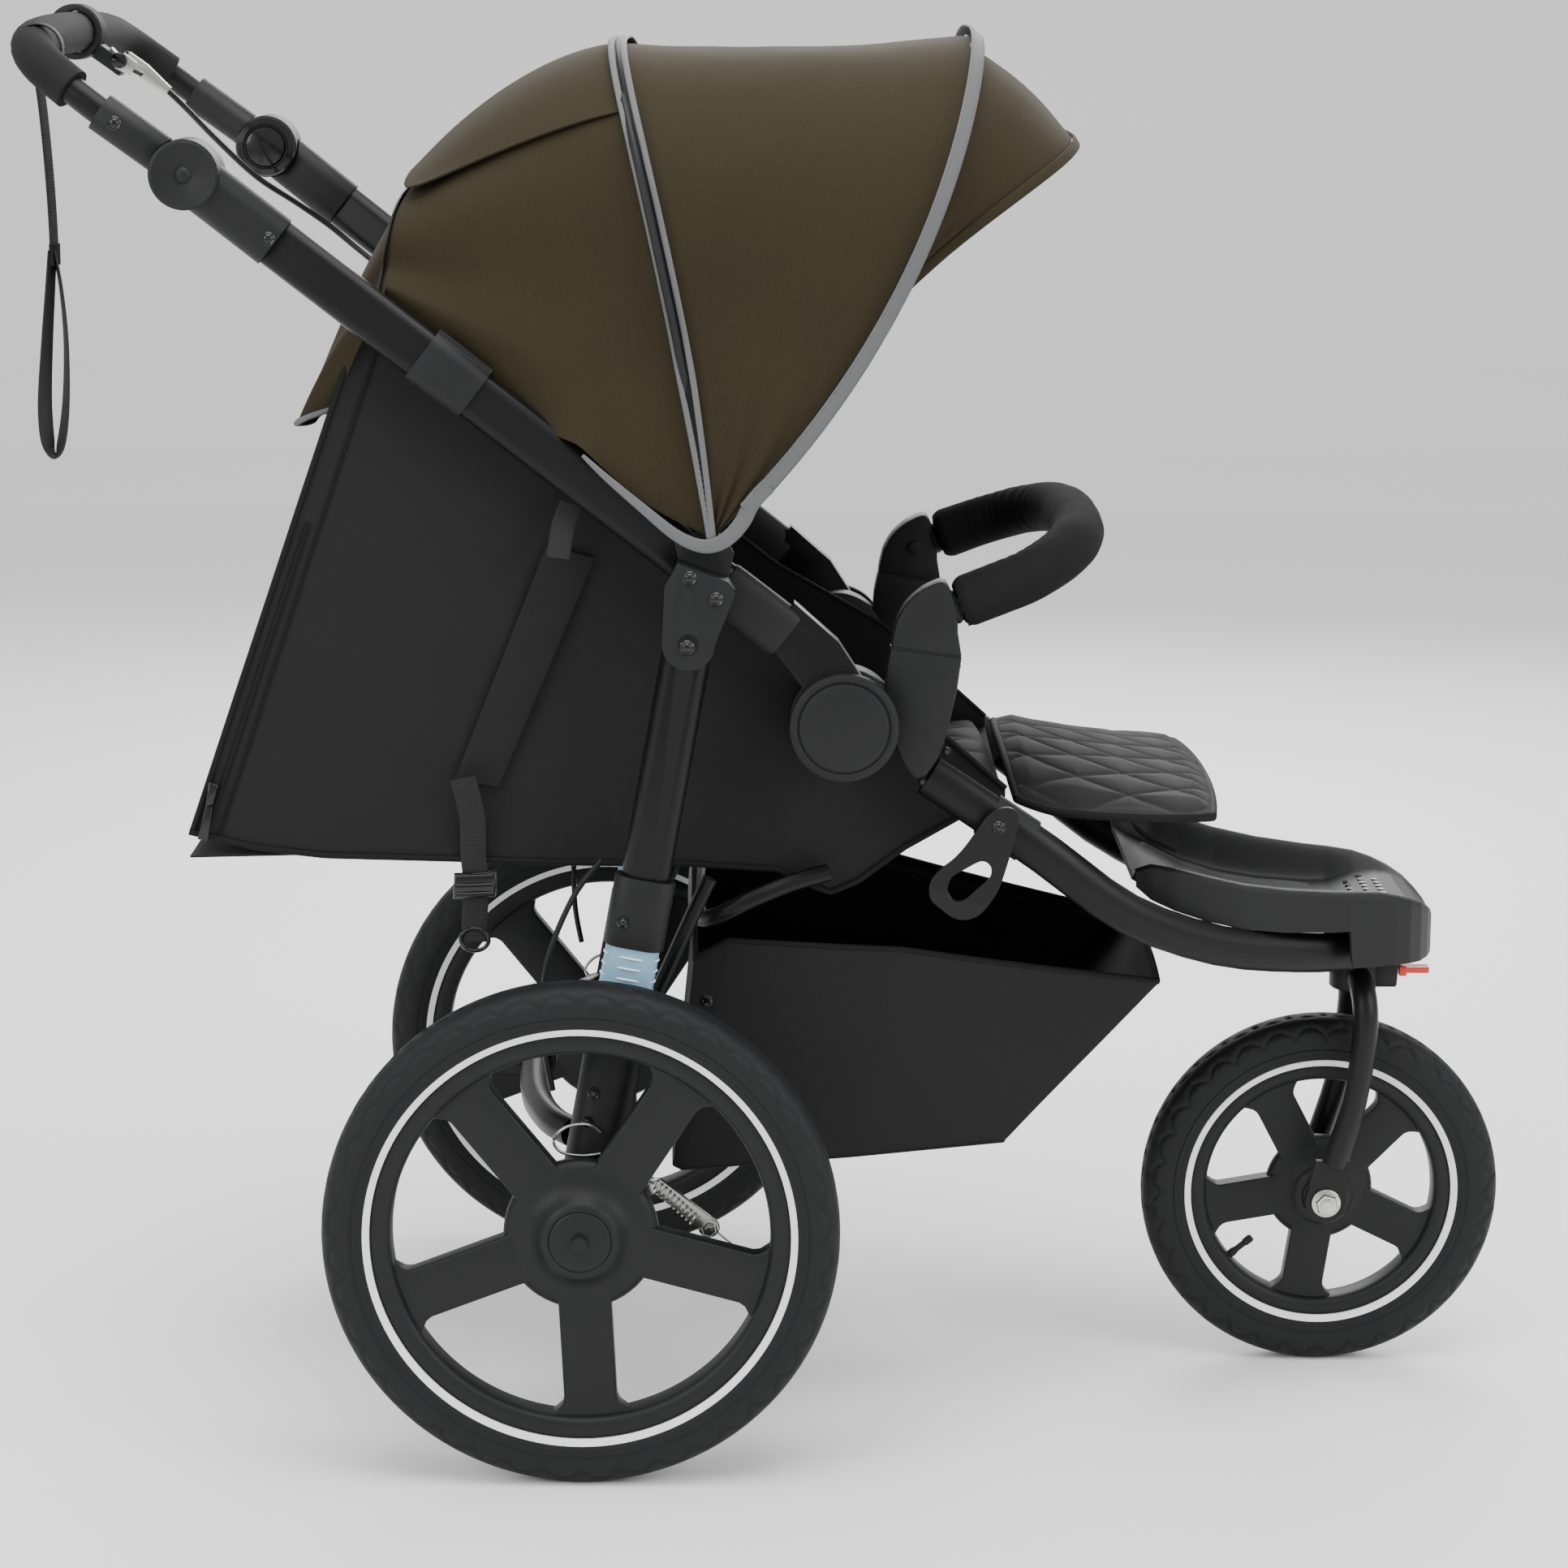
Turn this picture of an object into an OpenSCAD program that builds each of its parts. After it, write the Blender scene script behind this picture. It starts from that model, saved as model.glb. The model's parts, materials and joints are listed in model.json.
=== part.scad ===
// Three-wheeled jogging stroller: folding chassis, sprung rear axle, reclining
// seat tub, folding canopy and height-adjustable handlebar.
// X points forward, Y to the child's left and Z up. The parts are drawn from the
// rear axle, and placed() then moves them to the middle of the whole length.

/* [Wheels] */
// Radius of the rear tyres
rear_radius = 200; // [195:1:203]
// Radius of the front tyre
front_radius = 150; // [145:1:155]
// Distance from the rear axle to the front axle
wheelbase = 610; // [606:1:620]
// Distance from the middle plane to the middle of a rear tyre
half_track = 287; // [287:1:292]
// Width of the rear tyres
rear_tyre_w = 44; // [38:1:44]
// Width of the front tyre
front_tyre_w = 42; // [36:1:44]

/* [Frame] */
// Height of the oval push arm tube
arm_h = 38; // [34:1:38]
// Width of the oval push arm tube
arm_w = 20; // [16:1:20]
// Wall of the frame tubes
tube_wall = 2; // [1.5:0.5:3]
// Radius of the round cover on the fold joint
fold_r = 42; // [40:1:44]
// Width of the rear leg tube, seen from the side
leg_h = 38; // [34:1:38]
// Thickness of the rear leg tube
leg_w = 22; // [18:1:22]

/* [Handle] */
// Radius of the foam grip
grip_r = 16; // [14:1:17]
// Radius of the handlebar tube
handle_r = 11; // [9:1:11]
// Radius of the tilt joints
tilt_r = 26; // [24:1:27]

/* [Soft parts] */
// Thickness of the fabric panels
cloth_t = 3; // [2:0.5:4]
// Radius of the padded bumper bar cover
bumper_r = 19.5; // [17:0.5:21]

/* [Hidden] */
$fn = 48;

handle_back = 433;
middle_x = (wheelbase + front_radius - handle_back) / 2;
fold_at = [201, 0, 586];
leg_pivot = [82, 0, 656];
tilt_at = [-290, 0, 1005];
canopy_pivot = [100, 0, 733];
rear_axle = [0, 0, rear_radius];
front_axle_at = [wheelbase, 0, front_radius];
steer_x = 634;
leg_lean = atan2(leg_pivot[0], leg_pivot[2] - rear_radius);
leg_span = norm(leg_pivot - rear_axle);
arm_slope = 0.782;
arm_lean = atan(arm_slope);
leg_y = 247;
strut_y = 243;
bracket_in = 176;
bracket_out = 200.5;
pin_r = 8;
running = 0.05;
stud_drop = 186;

function arm_z(x) = 785 - arm_slope * (x + 9);
function arm_y(x) = 211 + 0.0629 * (201 - x);
function tub_y(x) = 230 - 0.1206 * (x + 300);
function unit(v) = v / norm(v);
function leg_point(t) = [t * sin(leg_lean), 0, rear_radius + t * cos(leg_lean)];

// ---- shared shapes ----------------------------------------------------------

module placed() translate([-middle_x, 0, 0]) children();

module both_sides() {
    children();
    mirror([0, 1, 0]) children();
}

// A straight part from a to b, drawn along its own +Z.
module along(a, b) {
    d = b - a;
    translate(a) rotate([0, acos(d[2] / norm(d)), atan2(d[1], d[0])]) children();
}

module oval(h, w) {
    square([h - w, w], center = true);
    translate([(h - w) / 2, 0]) circle(w / 2);
    translate([-(h - w) / 2, 0]) circle(w / 2);
}

module oval_tube(len, h, w, wall) {
    difference() {
        linear_extrude(len) oval(h, w);
        translate([0, 0, -1]) linear_extrude(len + 2) oval(h - 2 * wall, w - 2 * wall);
    }
}

// A round part across the stroller, centred at p, from y0 to y1.
module pin(p, r, y0, y1) translate([p[0], y1, p[2]]) rotate([90, 0, 0]) cylinder(r = r, h = y1 - y0);

// A flat plate standing along the stroller, from y0 to y1, with its outline in X and Z.
module plate(points, y0, y1) translate([0, y1, 0]) rotate([90, 0, 0]) linear_extrude(y1 - y0) polygon(points);

// Catmull-Rom points through p, k steps in each span.
function spline_at(a, b, c, d, t) = 0.5 * (2 * b + (c - a) * t + (2 * a - 5 * b + 4 * c - d) * t * t
    + (3 * b - a - 3 * c + d) * t * t * t);
function smooth(p, k) = let (n = len(p) - 1) concat([for (i = [0 : n - 1], j = [0 : k - 1])
    spline_at(p[max(i - 1, 0)], p[i], p[i + 1], p[min(i + 2, n)], j / k)], [p[n]]);

// Both halves of a path that starts at the middle plane.
function mirrored(p) = concat([for (i = [len(p) - 1 : -1 : 1]) [p[i][0], -p[i][1], p[i][2]]], p);

function tangent(p, i) = unit(p[min(i + 1, len(p) - 1)] - p[max(i - 1, 0)]);
function ring(p, t, up, a, b, n) = let (s = unit(cross(t, up)), u = cross(s, t))
    [for (k = [0 : n - 1]) p + a * cos(360 * k / n) * s + b * sin(360 * k / n) * u];

// Joins rings of n points into one closed skin.
module skin(rings, n) {
    last = (len(rings) - 1) * n;
    sides = [for (i = [0 : len(rings) - 2], k = [0 : n - 1], half = [0, 1]) let (k2 = (k + 1) % n)
        half == 0 ? [i * n + k, i * n + k2, (i + 1) * n + k2] : [i * n + k, (i + 1) * n + k2, (i + 1) * n + k]];
    ends = [[for (k = [n - 1 : -1 : 0]) k], [for (k = [0 : n - 1]) last + k]];
    polyhedron([for (r = rings) each r], concat(sides, ends), convexity = 10);
}

module sweep(path, a, b, up, n) skin([for (i = [0 : len(path) - 1]) ring(path[i], tangent(path, i), up, a, b, n)], n);

// Half an arch from the middle plane down to its foot: a is the half angle at the top.
function bow_side(foot, top, w, w_foot, shoulder, bulge) = let (d = top - foot, f = unit([-d[2], 0, d[0]]))
    concat([for (a = [0 : 15 : 90]) let (c = pow(cos(a), 0.62), s = pow(sin(a), 0.62), h = shoulder + (1 - shoulder) * c)
        foot + d * h + [0, w * s, 0] - f * bulge * 4 * h * (1 - h)],
        [for (h = [shoulder / 2, 0]) foot + d * h + [0, w_foot + (w - w_foot) * h / shoulder, 0] - f * bulge * 4 * h * (1 - h)]);

// A thin curved sheet between arches, given from back to front.
module sheet(outer, inner) {
    rows = len(outer);
    n = len(outer[0]);
    wide = 2 * n;
    last = (rows - 1) * wide;
    sides = [for (i = [0 : rows - 2], k = [0 : wide - 1], half = [0, 1]) let (k2 = (k + 1) % wide)
        half == 0 ? [i * wide + k, i * wide + k2, (i + 1) * wide + k2]
        : [i * wide + k, (i + 1) * wide + k2, (i + 1) * wide + k]];
    ends = [for (k = [0 : n - 2], half = [0, 1]) let (m = wide - 1 - k)
        half == 0 ? [k, m, m - 1] : [k, m - 1, k + 1]];
    fronts = [for (f = ends) [last + f[2], last + f[1], last + f[0]]];
    polyhedron([for (i = [0 : rows - 1]) each concat(outer[i], [for (k = [n - 1 : -1 : 0]) inner[i][k]])],
        concat(sides, ends, fronts), convexity = 10);
}

// ---- chassis ----------------------------------------------------------------

front_rail_path = [[268, 187, 541], [300, 187, 520], [361, 183, 477], [428, 163, 425],
    [505, 125, 390], [575, 88, 375], [622, 62, 370]];

module front_rails() color("#26272a") placed() both_sides()
    sweep(smooth(front_rail_path, 3), 10, 16.5, [0, 0, 1], 16);

module fold_housings() color("#2b2c2f") placed() both_sides() {
    pin(fold_at, fold_r, bracket_in, bracket_out);
    pin(fold_at, pin_r, bracket_out - 1, 223);
    difference() {
        pin(fold_at, fold_r, 221.8, 229);
        pin(fold_at, 36, 227, 230);
    }
}

module fold_caps() color("#1f2022") placed() both_sides() difference() {
    pin(fold_at, 34, 227, 230.3);
    difference() {
        pin(fold_at, 31, 229.5, 231);
        pin(fold_at, 29, 229, 232);
    }
}

bracket_outline = [[248, 549], [259, 538], [268, 532], [281, 556], [286, 590], [292, 636], [291, 672],
    [283, 695], [270, 697], [254, 688], [243, 668], [238, 645], [232, 604]];

module bumper_brackets() color("#2b2c2f") placed() both_sides() difference() {
    plate(bracket_outline, bracket_in, bracket_out);
    pin(fold_at, fold_r + 0.2, bracket_in - 1, bracket_out + 1);
    along([262, 188, 548], [300, 188, 522]) translate([0, 0, -60]) linear_extrude(120) oval(34, 22);
    translate([270, 188, 668]) rotate([0, 69.5, 0]) cylinder(r = 9.6, h = 60);
    pin([268, 0, 668], 5.2, bracket_in - 1, 191.5);
}

module fork_head() color("#242528") placed() {
    difference() {
        union() {
            translate([steer_x, 0, 352]) cylinder(r = 22, h = 42);
            translate([steer_x - 10, -50, 358]) cube([22, 100, 22]);
        }
        translate([steer_x, 0, 351]) cylinder(r = 10.05, h = 40);
    }
}

tray_plan = [[440, 122], [470, 126], [520, 118], [590, 98], [650, 84], [676, 66], [690, 40], [695, 0]];
tray_floor = [[500, 96], [590, 82], [645, 70], [668, 50], [676, 24], [678, 0]];
tray_side = [[436, 430], [452, 456], [480, 428], [520, 418], [600, 420], [655, 430], [680, 420], [697, 396],
    [697, 352], [640, 350], [600, 356], [540, 376], [470, 408]];
tray_hollow = [[470, 445], [500, 409], [552, 398], [648, 398], [672, 407], [690, 445]];

module plan(points, z0, z1) translate([0, 0, z0]) linear_extrude(z1 - z0)
    polygon(concat(points, [for (i = [len(points) - 1 : -1 : 0]) [points[i][0], -points[i][1]]]));

module footrest_tray() color("#36373a") placed() difference() {
    intersection() {
        plan(tray_plan, 340, 470);
        plate(tray_side, -140, 140);
    }
    intersection() {
        plan(tray_floor, 380, 470);
        plate(tray_hollow, -120, 120);
    }
    translate([430, -100, 340]) cube([176, 200, 52]);
    translate([600, -78, 340]) cube([70, 156, 48]);
    both_sides() sweep(smooth(front_rail_path, 2), 11, 18, [0, 0, 1], 12);
    for (row = [0 : 1], k = [-2 : 2]) translate([632 + 13 * row, 13 * k + 5 * row, 380]) cylinder(r = 2.5, h = 40);
    translate([steer_x, 0, 350]) cylinder(r = 24, h = 46);
}

basket_hoop = [[84, 0, 418], [86, 120, 419], [92, 180, 424], [106, 199, 432], [130, 199, 444], [160, 191, 455],
    [190, 182, 462]];
basket_stay = [[48, 208, 352], [66, 208, 392], [84, 213, 434], [98, 213, 464]];

module basket_frame() color("#2a2b2e") placed() {
    sweep(smooth(mirrored(basket_hoop), 3), 7, 7, [0.3, 0, 1], 10);
    both_sides() sweep(smooth(basket_stay, 2), 6, 6, [0, 1, 0.1], 10);
}

basket_corners = [[66, 186, 220, 1], [334, 146, 233, 1], [78, 186, 372, 0], [106, 184, 404, 0],
    [250, 172, 396, 0], [462, 112, 352, 0]];

module basket_space(inset, top) hull() both_sides() for (c = basket_corners)
    translate([c[0] + inset * sign(220 - c[0]), c[1] - inset, c[2] + inset * c[3] + top * (1 - c[3])]) cube(1);

module basket() color("#232325") placed() difference() {
    basket_space(0, 0);
    basket_space(cloth_t, 4);
}

module seat_base() color("#202123") placed() difference() {
    hull() both_sides() {
        translate([66, 172, 480]) cube([1, 1, 22]);
        translate([160, 162, 478]) cube([1, 1, 24]);
        translate([322, 142, 506]) cube([1, 1, 20]);
    }
    translate([117, -31, 503.6]) cube([116, 62, 30]);
}

module leg_pad() color("#1d1e20") placed() hull() both_sides() {
    translate([336, 138, 512]) cylinder(r = 10, h = 26);
    translate([470, 136, 493]) cylinder(r = 20, h = 14);
}

// ---- front wheel ------------------------------------------------------------

fork_leg = [[634, 10, 338], [636, 28, 334], [638, 41, 318], [638, 45, 290], [631, 45, 235], [616, 45, 182]];

module front_fork() color("#1c1d1f") placed() {
    translate([steer_x, 0, 326]) cylinder(r = 19, h = 24);
    translate([steer_x, 0, 349]) cylinder(r = 10, h = 38);
    translate([648, -9, 326]) cube([20, 18, 20]);
    both_sides() {
        sweep(smooth(fork_leg, 3), 10.5, 10.5, [1, 0, 0.3], 12);
        difference() {
            pin(front_axle_at, 17, 42, 48);
            pin(front_axle_at, 6.05, 40, 50);
        }
        difference() {
            plate([[593, 152], [626, 160], [629, 186], [601, 186]], 42, 48);
            pin(front_axle_at, 16, 40, 50);
        }
    }
}

module front_axle() color("#55565a") placed() {
    pin(front_axle_at, 6, -58, 58);
    both_sides() {
        pin(front_axle_at, 11, 48, 50);
        pin(front_axle_at, 8.5, 50, 56);
    }
}

// A tyre ring with its round section cut off at the rim seat.
module tyre(at, r, w, seat) translate(at) rotate([90, 0, 0]) difference() {
    rotate_extrude($fn = 96) translate([r - w / 2, 0]) circle(w / 2);
    translate([0, 0, -w]) cylinder(r = seat, h = 2 * w, $fn = 96);
}

// A moulded wheel: rim ring, five spokes and a hub with the axle bore.
module wheel(at, seat, ring_in, w, spoke_w, hub_r, hub_w, bore_r, turn) translate(at) rotate([90, 0, 0]) difference() {
    union() {
        rotate_extrude($fn = 96) polygon([[ring_in, -w / 2 + 4], [ring_in + 4, -w / 2], [seat, -w / 2],
            [seat, w / 2], [ring_in + 4, w / 2], [ring_in, w / 2 - 4]]);
        for (k = [0 : 4]) rotate([0, 0, turn + 72 * k]) translate([hub_r - 17, -spoke_w / 2, -6])
            cube([ring_in - hub_r + 19, spoke_w, 12]);
        translate([0, 0, -hub_w / 2]) cylinder(r = hub_r, h = hub_w);
    }
    translate([0, 0, -hub_w]) cylinder(r = bore_r, h = 2 * hub_w);
}

module front_tyre() color("#232426") placed() tyre(front_axle_at, front_radius, front_tyre_w, front_radius - 34);
module front_rim() color("#2f3033") placed()
    wheel(front_axle_at, front_radius - 34, front_radius - 53, 30, 33, 29.5, 66, 6.05, 46);

module swivel_lock() color("#c8332b") placed() {
    translate([671, -6, 337]) cube([25, 12, 5]);
    translate([671, -8, 335]) cube([6, 16, 8]);
}

module storage_hook() color("#2e2f32") placed() difference() {
    union() {
        plate([[312, 500], [330, 512], [340, 478], [330, 446], [312, 430], [298, 428], [276, 444], [270, 466],
            [281, 471], [287, 456], [300, 442], [312, 447], [321, 462], [322, 482]], -206, -202);
        mirror([0, 1, 0]) pin([322, 0, 505], 11, 199.5, 206);
    }
    mirror([0, 1, 0]) pin([322, 0, 505], 3.5, 190, 210);
}

// ---- push arms --------------------------------------------------------------

arm_top = [-232, arm_y(-232), arm_z(-232)];
arm_foot = [150, arm_y(150), arm_z(150)];

module push_arms() color("#1f2022") placed() both_sides() {
    along(arm_foot, arm_top) oval_tube(norm(arm_top - arm_foot), arm_h, arm_w, tube_wall);
    difference() {
        union() {
            pin(fold_at, 34, 201.3, 221.3);
            plate([[146, 646], [162, 682], [196, 652], [222, 612], [190, 596], [172, 612]], 203, 221);
        }
        pin(fold_at, pin_r + running, 200, 222);
    }
}

module leg_brackets() color("#2b2c2f") placed() both_sides() {
    difference() {
        union() {
            plate([[62, 656], [64, 700], [74, 718], [112, 704], [117, 694], [102, 656]], 259, 262);
            pin(leg_pivot, 20, 259, 262);
        }
        pin(leg_pivot, pin_r + running, 258, 263);
    }
    plate([[64, 694], [74, 718], [112, 704], [117, 697]], 230, 259.5);
    plate([[70, 734], [74, 716], [112, 702], [116, 722], [108, 737], [90, 739]], 230, 235);
    pin(canopy_pivot, 4, 234, 258);
}

module canopy_clamps() color("#2b2c2f") placed() both_sides() difference() {
    along([-80, arm_y(-80), arm_z(-80)], [-124, arm_y(-124), arm_z(-124)]) linear_extrude(50) {
        oval(arm_h + 6, arm_w + 6);
        translate([-24, -6]) square([10, 12]);
    }
    along([-60, arm_y(-60), arm_z(-60)], [-160, arm_y(-160), arm_z(-160)]) linear_extrude(100) oval(arm_h + 0.2, arm_w + 0.2);
}

module tilt_housings() color("#2b2c2f") placed() both_sides() {
    difference() {
        union() {
            pin(tilt_at, tilt_r, 242, 262);
            difference() {
                along([-226, 239, arm_z(-226)], [-290, 243, 1005]) linear_extrude(80) oval(arm_h + 3, 28);
                pin(tilt_at, tilt_r + 1, 215, 242);
                pin(tilt_at, tilt_r - 1, 241, 270);
            }
        }
        pin(tilt_at, pin_r, 240, 256);
        along([-200, arm_y(-200), arm_z(-200)], [-232.5, arm_y(-232.5), arm_z(-232.5)])
            linear_extrude(norm([32.5, 2.05, 25.4])) oval(arm_h + 0.2, arm_w + 0.2);
        pin(tilt_at, 60, 256.5, 257);
    }
}

tub_side = [[-300, 500], [-302, 526], [-242, 691], [-186, 841], [-168, 896], [-40, 798], [60, 720], [150, 652],
    [241, 602], [330, 520], [299, 507], [190, 444], [164, 467], [-12, 473], [-200, 482]];

module tub_wall(points) plate(points, -cloth_t, 0);

module seat_tub() color("#242426") placed() {
    both_sides() translate([-300, tub_y(-300), 0]) rotate([0, 0, -atan(0.1206)]) translate([300, 0, 0]) tub_wall(tub_side);
    plate([[-300, 502], [-302, 526], [-168, 896], [-165, 895], [-299, 526], [-297, 502]], -213, 213);
}

module recline_straps() color("#151617") placed() both_sides() {
    translate([0, 7, 0]) translate([-300, tub_y(-300), 0]) rotate([0, 0, -atan(0.1206)]) translate([300, 0, 0]) {
        tub_wall([[-28, 722], [9, 712], [-64, 500], [-100, 505]]);
        tub_wall([[-92, 504], [-72, 502], [-76, 430], [-96, 430]]);
    }
    translate([-100, 203, 405]) cube([28, 9, 30]);
}

// ---- handlebar --------------------------------------------------------------

handle_path = [[-412, 0, 1104], [-412, 100, 1103], [-412, 168, 1100], [-408, 205, 1094], [-396, 228, 1083],
    [-374, 238, 1066], [-345, 241, 1044]];

module handlebar() color("#1f2022") placed()
    sweep(smooth(mirrored(handle_path), 3), handle_r, handle_r, [0.5, 0, 1], 16);

module handle_grip() color("#2b2b2c") placed() difference() {
    sweep(smooth(mirrored([for (i = [0 : 5]) handle_path[i]]), 3), grip_r, grip_r, [0.5, 0, 1], 20);
    sweep(smooth(mirrored(handle_path), 3), handle_r + 0.1, handle_r + 0.1, [0.5, 0, 1], 16);
}

module handle_knuckles() color("#2b2c2f") placed() both_sides() difference() {
    union() {
        pin(tilt_at, tilt_r, 221, 241.6);
        along([-353, 241, 1050], [-290, 241, 1005]) linear_extrude(54) oval(30, 26);
    }
    along([-374, 238, 1066], [-345, 241, 1044]) cylinder(r = handle_r + 0.3, h = 37);
    pin(tilt_at, tilt_r + 1, 241.6, 270);
    pin(tilt_at, 17, 220, 226);
    pin(tilt_at, pin_r, 224, 243);
}

// An inner release button, with its stem through the tilt joint.
module tilt_button() {
    pin(tilt_at, 16.5, 217.5, 222);
    pin(tilt_at, pin_r - 0.3, 221, 240);
}

module tilt_button_left() color("#0d0d0e") placed() tilt_button();
module tilt_button_right() color("#0d0d0e") placed() mirror([0, 1, 0]) tilt_button();

module brake_clamp() color("#1a1a1b") placed() difference() {
    union() {
        translate([-412, 22, 1104]) rotate([90, 0, 0]) cylinder(r = 21, h = 24);
        translate([-402, 0, 1094]) rotate([0, 125, 0]) translate([-6, -2, 8]) cube([12, 22, 26]);
    }
    translate([-412, 30, 1104]) rotate([90, 0, 0]) cylinder(r = grip_r + 0.4, h = 60);
    pin([-376, 0, 1082], 3.05, -40, 60);
}

module brake_lever() color("#8d8f92") placed() {
    pin([-376, 0, 1082], 3, -6, 30);
    plate([[-380, 1076], [-372, 1088], [-358, 1078], [-340, 1060], [-345, 1054], [-362, 1066]], 20.5, 27);
    plate([[-380, 1076], [-372, 1088], [-362, 1080], [-368, 1070]], -7, -3);
}

cable_path = [[-356, 34, 1068], [-338, 70, 1045], [-318, 120, 1015], [-292, 170, 982], [-262, 203, 958],
    [-236, 218, 938], [-205, 222, 912], [-120, 213, 846], [-40, 207, 784], [20, 202, 736]];

module brake_cable() color("#121213") placed() sweep(smooth(cable_path, 5), 2.5, 2.5, [1, 1, 0], 8);

strap_path = [[-410, -196, 1076], [-405, -196, 1062], [-400, -197, 1020], [-398, -198, 980], [-398, -198, 935],
    [-399, -199, 880], [-401, -200, 830], [-403, -200, 800]];

module wrist_strap() color("#161617") placed() sweep(smooth(strap_path, 3), 4.5, 3, [0, 1, 0], 8);

// ---- rear legs and axle -----------------------------------------------------

module leg_frame() translate(rear_axle) rotate([0, leg_lean, 0]) children();

module rear_legs() color("#1f2022") placed() {
    both_sides() {
        difference() {
            leg_frame() translate([0, leg_y, 234]) linear_extrude(leg_span - 236) oval(leg_h, leg_w);
            leg_frame() translate([0, leg_y, 233]) linear_extrude(leg_span - 270)
                oval(leg_h - 2 * tube_wall, leg_w - 2 * tube_wall);
        }
        pin(leg_pivot, leg_h / 2 - 0.3, leg_y - leg_w / 2 + 0.5, leg_y + leg_w / 2 - 0.5);
        pin(leg_pivot, pin_r, 231, 261.8);
    }
    mirror([0, 1, 0]) pin(leg_point(leg_span - stud_drop), 4, 204, 238);
}

module leg_collars() color("#2b2c2f") placed() both_sides() leg_frame() translate([0, leg_y, 0]) {
    difference() {
        translate([0, -0.5, 222]) linear_extrude(55) oval(47, 29);
        translate([0, 0, 221]) linear_extrude(57) oval(leg_h + 0.1, leg_w + 0.1);
        translate([0, 0, 200]) linear_extrude(54) oval(43, 26);
        translate([0, 0, leg_span - stud_drop]) rotate([90, 0, 0]) cylinder(r = 4.3, h = 30);
    }
    difference() {
        translate([0, 0, 240]) linear_extrude(14) oval(leg_h - 2 * tube_wall - 0.1, leg_w - 2 * tube_wall - 0.1);
        translate([0, 0, 230]) cylinder(r = 6.05, h = 40);
    }
}

module axle_struts() color("#26272a") placed() both_sides() {
    leg_frame() translate([0, strut_y, 0]) {
        translate([0, 0, 30]) linear_extrude(117) oval(46, 33);
        translate([0, leg_y - strut_y, 146]) cylinder(r = 6, h = 130);
    }
    pin(rear_axle, 34, 234, 262);
    pin(rear_axle, 6, 261, 317);
}

module spring_sleeves() color([0.6, 0.8, 0.95, 0.5]) placed() both_sides() leg_frame() translate([0, leg_y, 147.2]) difference() {
    linear_extrude(84) oval(42, 25.4);
    translate([0, 0, -1]) linear_extrude(86) oval(38.8, 22.8);
}

module suspension_springs() color("#3d6f9a") placed() both_sides() leg_frame() translate([0, leg_y, 147.6]) difference() {
    cylinder(r = 10.2, h = 68);
    translate([0, 0, -1]) cylinder(r = 6.6, h = 70);
}

cross_path = [[-8, 226, 262], [-28, 190, 262], [-44, 120, 262], [-50, 0, 262]];

module rear_cross_tube() color("#1f2022") placed()
    sweep(smooth(mirrored([for (i = [3 : -1 : 0]) cross_path[i]]), 4), 12, 12, [0, 0, 1], 16);

module parking_pedal() color("#303134") placed() difference() {
    union() {
        translate([-50, 20, 262]) rotate([90, 0, 0]) cylinder(r = 17, h = 40);
        plate([[-62, 248], [-112, 246], [-114, 254], [-62, 272]], -18, 18);
    }
    translate([-50, 40, 262]) rotate([90, 0, 0]) cylinder(r = 13, h = 80);
}

module brake_arm() {
    pin([52, 0, 226], 5, 240, 258);
    plate([[48, 222], [56, 220], [100, 186], [106, 196], [60, 232], [50, 231]], 246, 252);
    pin([98, 0, 193], 7, 244, 254);
}

module brake_arm_left() color("#9a9da1") placed() brake_arm();
module brake_arm_right() color("#9a9da1") placed() mirror([0, 1, 0]) brake_arm();

wheel_at = [0, half_track, rear_radius];
module rear_tyre_left() color("#232426") placed() tyre(wheel_at, rear_radius, rear_tyre_w, rear_radius - 36);
module rear_tyre_right() color("#232426") placed() mirror([0, 1, 0]) tyre(wheel_at, rear_radius, rear_tyre_w, rear_radius - 36);

module rear_rim() wheel(wheel_at, rear_radius - 36, rear_radius - 54, 30, 42, 37.5, 48, 6.05, 57);

module hub_cap() difference() {
    pin(wheel_at, 23, half_track + 23.5, half_track + 31);
    pin(wheel_at, 6.6, half_track + 20, half_track + 30.2);
}

module rear_wheel_body() {
    rear_rim();
    hub_cap();
}

module rear_rim_left() color("#2f3033") placed() rear_wheel_body();
module rear_rim_right() color("#2f3033") placed() mirror([0, 1, 0]) rear_wheel_body();

// ---- canopy -----------------------------------------------------------------

wire_gap = 4.5;
mid_bow = bow_side([98, 0, 740], [22, 0, 1096], 252, 240.5, 0.45, 6);
front_bow = bow_side([102, 0, 740], [299, 0, 1103], 252, 246.5, 0.45, 34);
visor_bow = bow_side([222, 0, 905], [380, 0, 1026], 214, 233, 0.35, -6);
rear_hoop = bow_side([-150, 0, 930], [-137, 0, 986], 196, 205, 0.3, 0);

function blend_bow(a, b, t, lift) = [for (i = [0 : len(a) - 1]) a[i] * (1 - t) + b[i] * t
    + [0, 0, lift * max(0, 1 - i / 6)]];
function inset_bow(a, foot, by) = [for (p = a) p - by * unit([p[0] - foot[0], p[1], p[2] - foot[2]])];

module canopy_sheet(bows, centre) sheet([for (b = bows) mirrored(inset_bow(b, centre, wire_gap))],
    [for (b = bows) mirrored(inset_bow(b, centre, wire_gap + cloth_t))]);

module bow_wire(bow, r) sweep(mirrored(bow), r, r, [1, 0, 0.4], 8);

module bow_eye(at, y0) both_sides() difference() {
    pin(at, 7, y0, y0 + 4);
    pin(at, 4.1, y0 - 1, y0 + 5);
}

module canopy_mid_bow() color("#111112") placed() {
    bow_wire(mid_bow, 3);
    bow_eye(canopy_pivot, 238);
}

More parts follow.
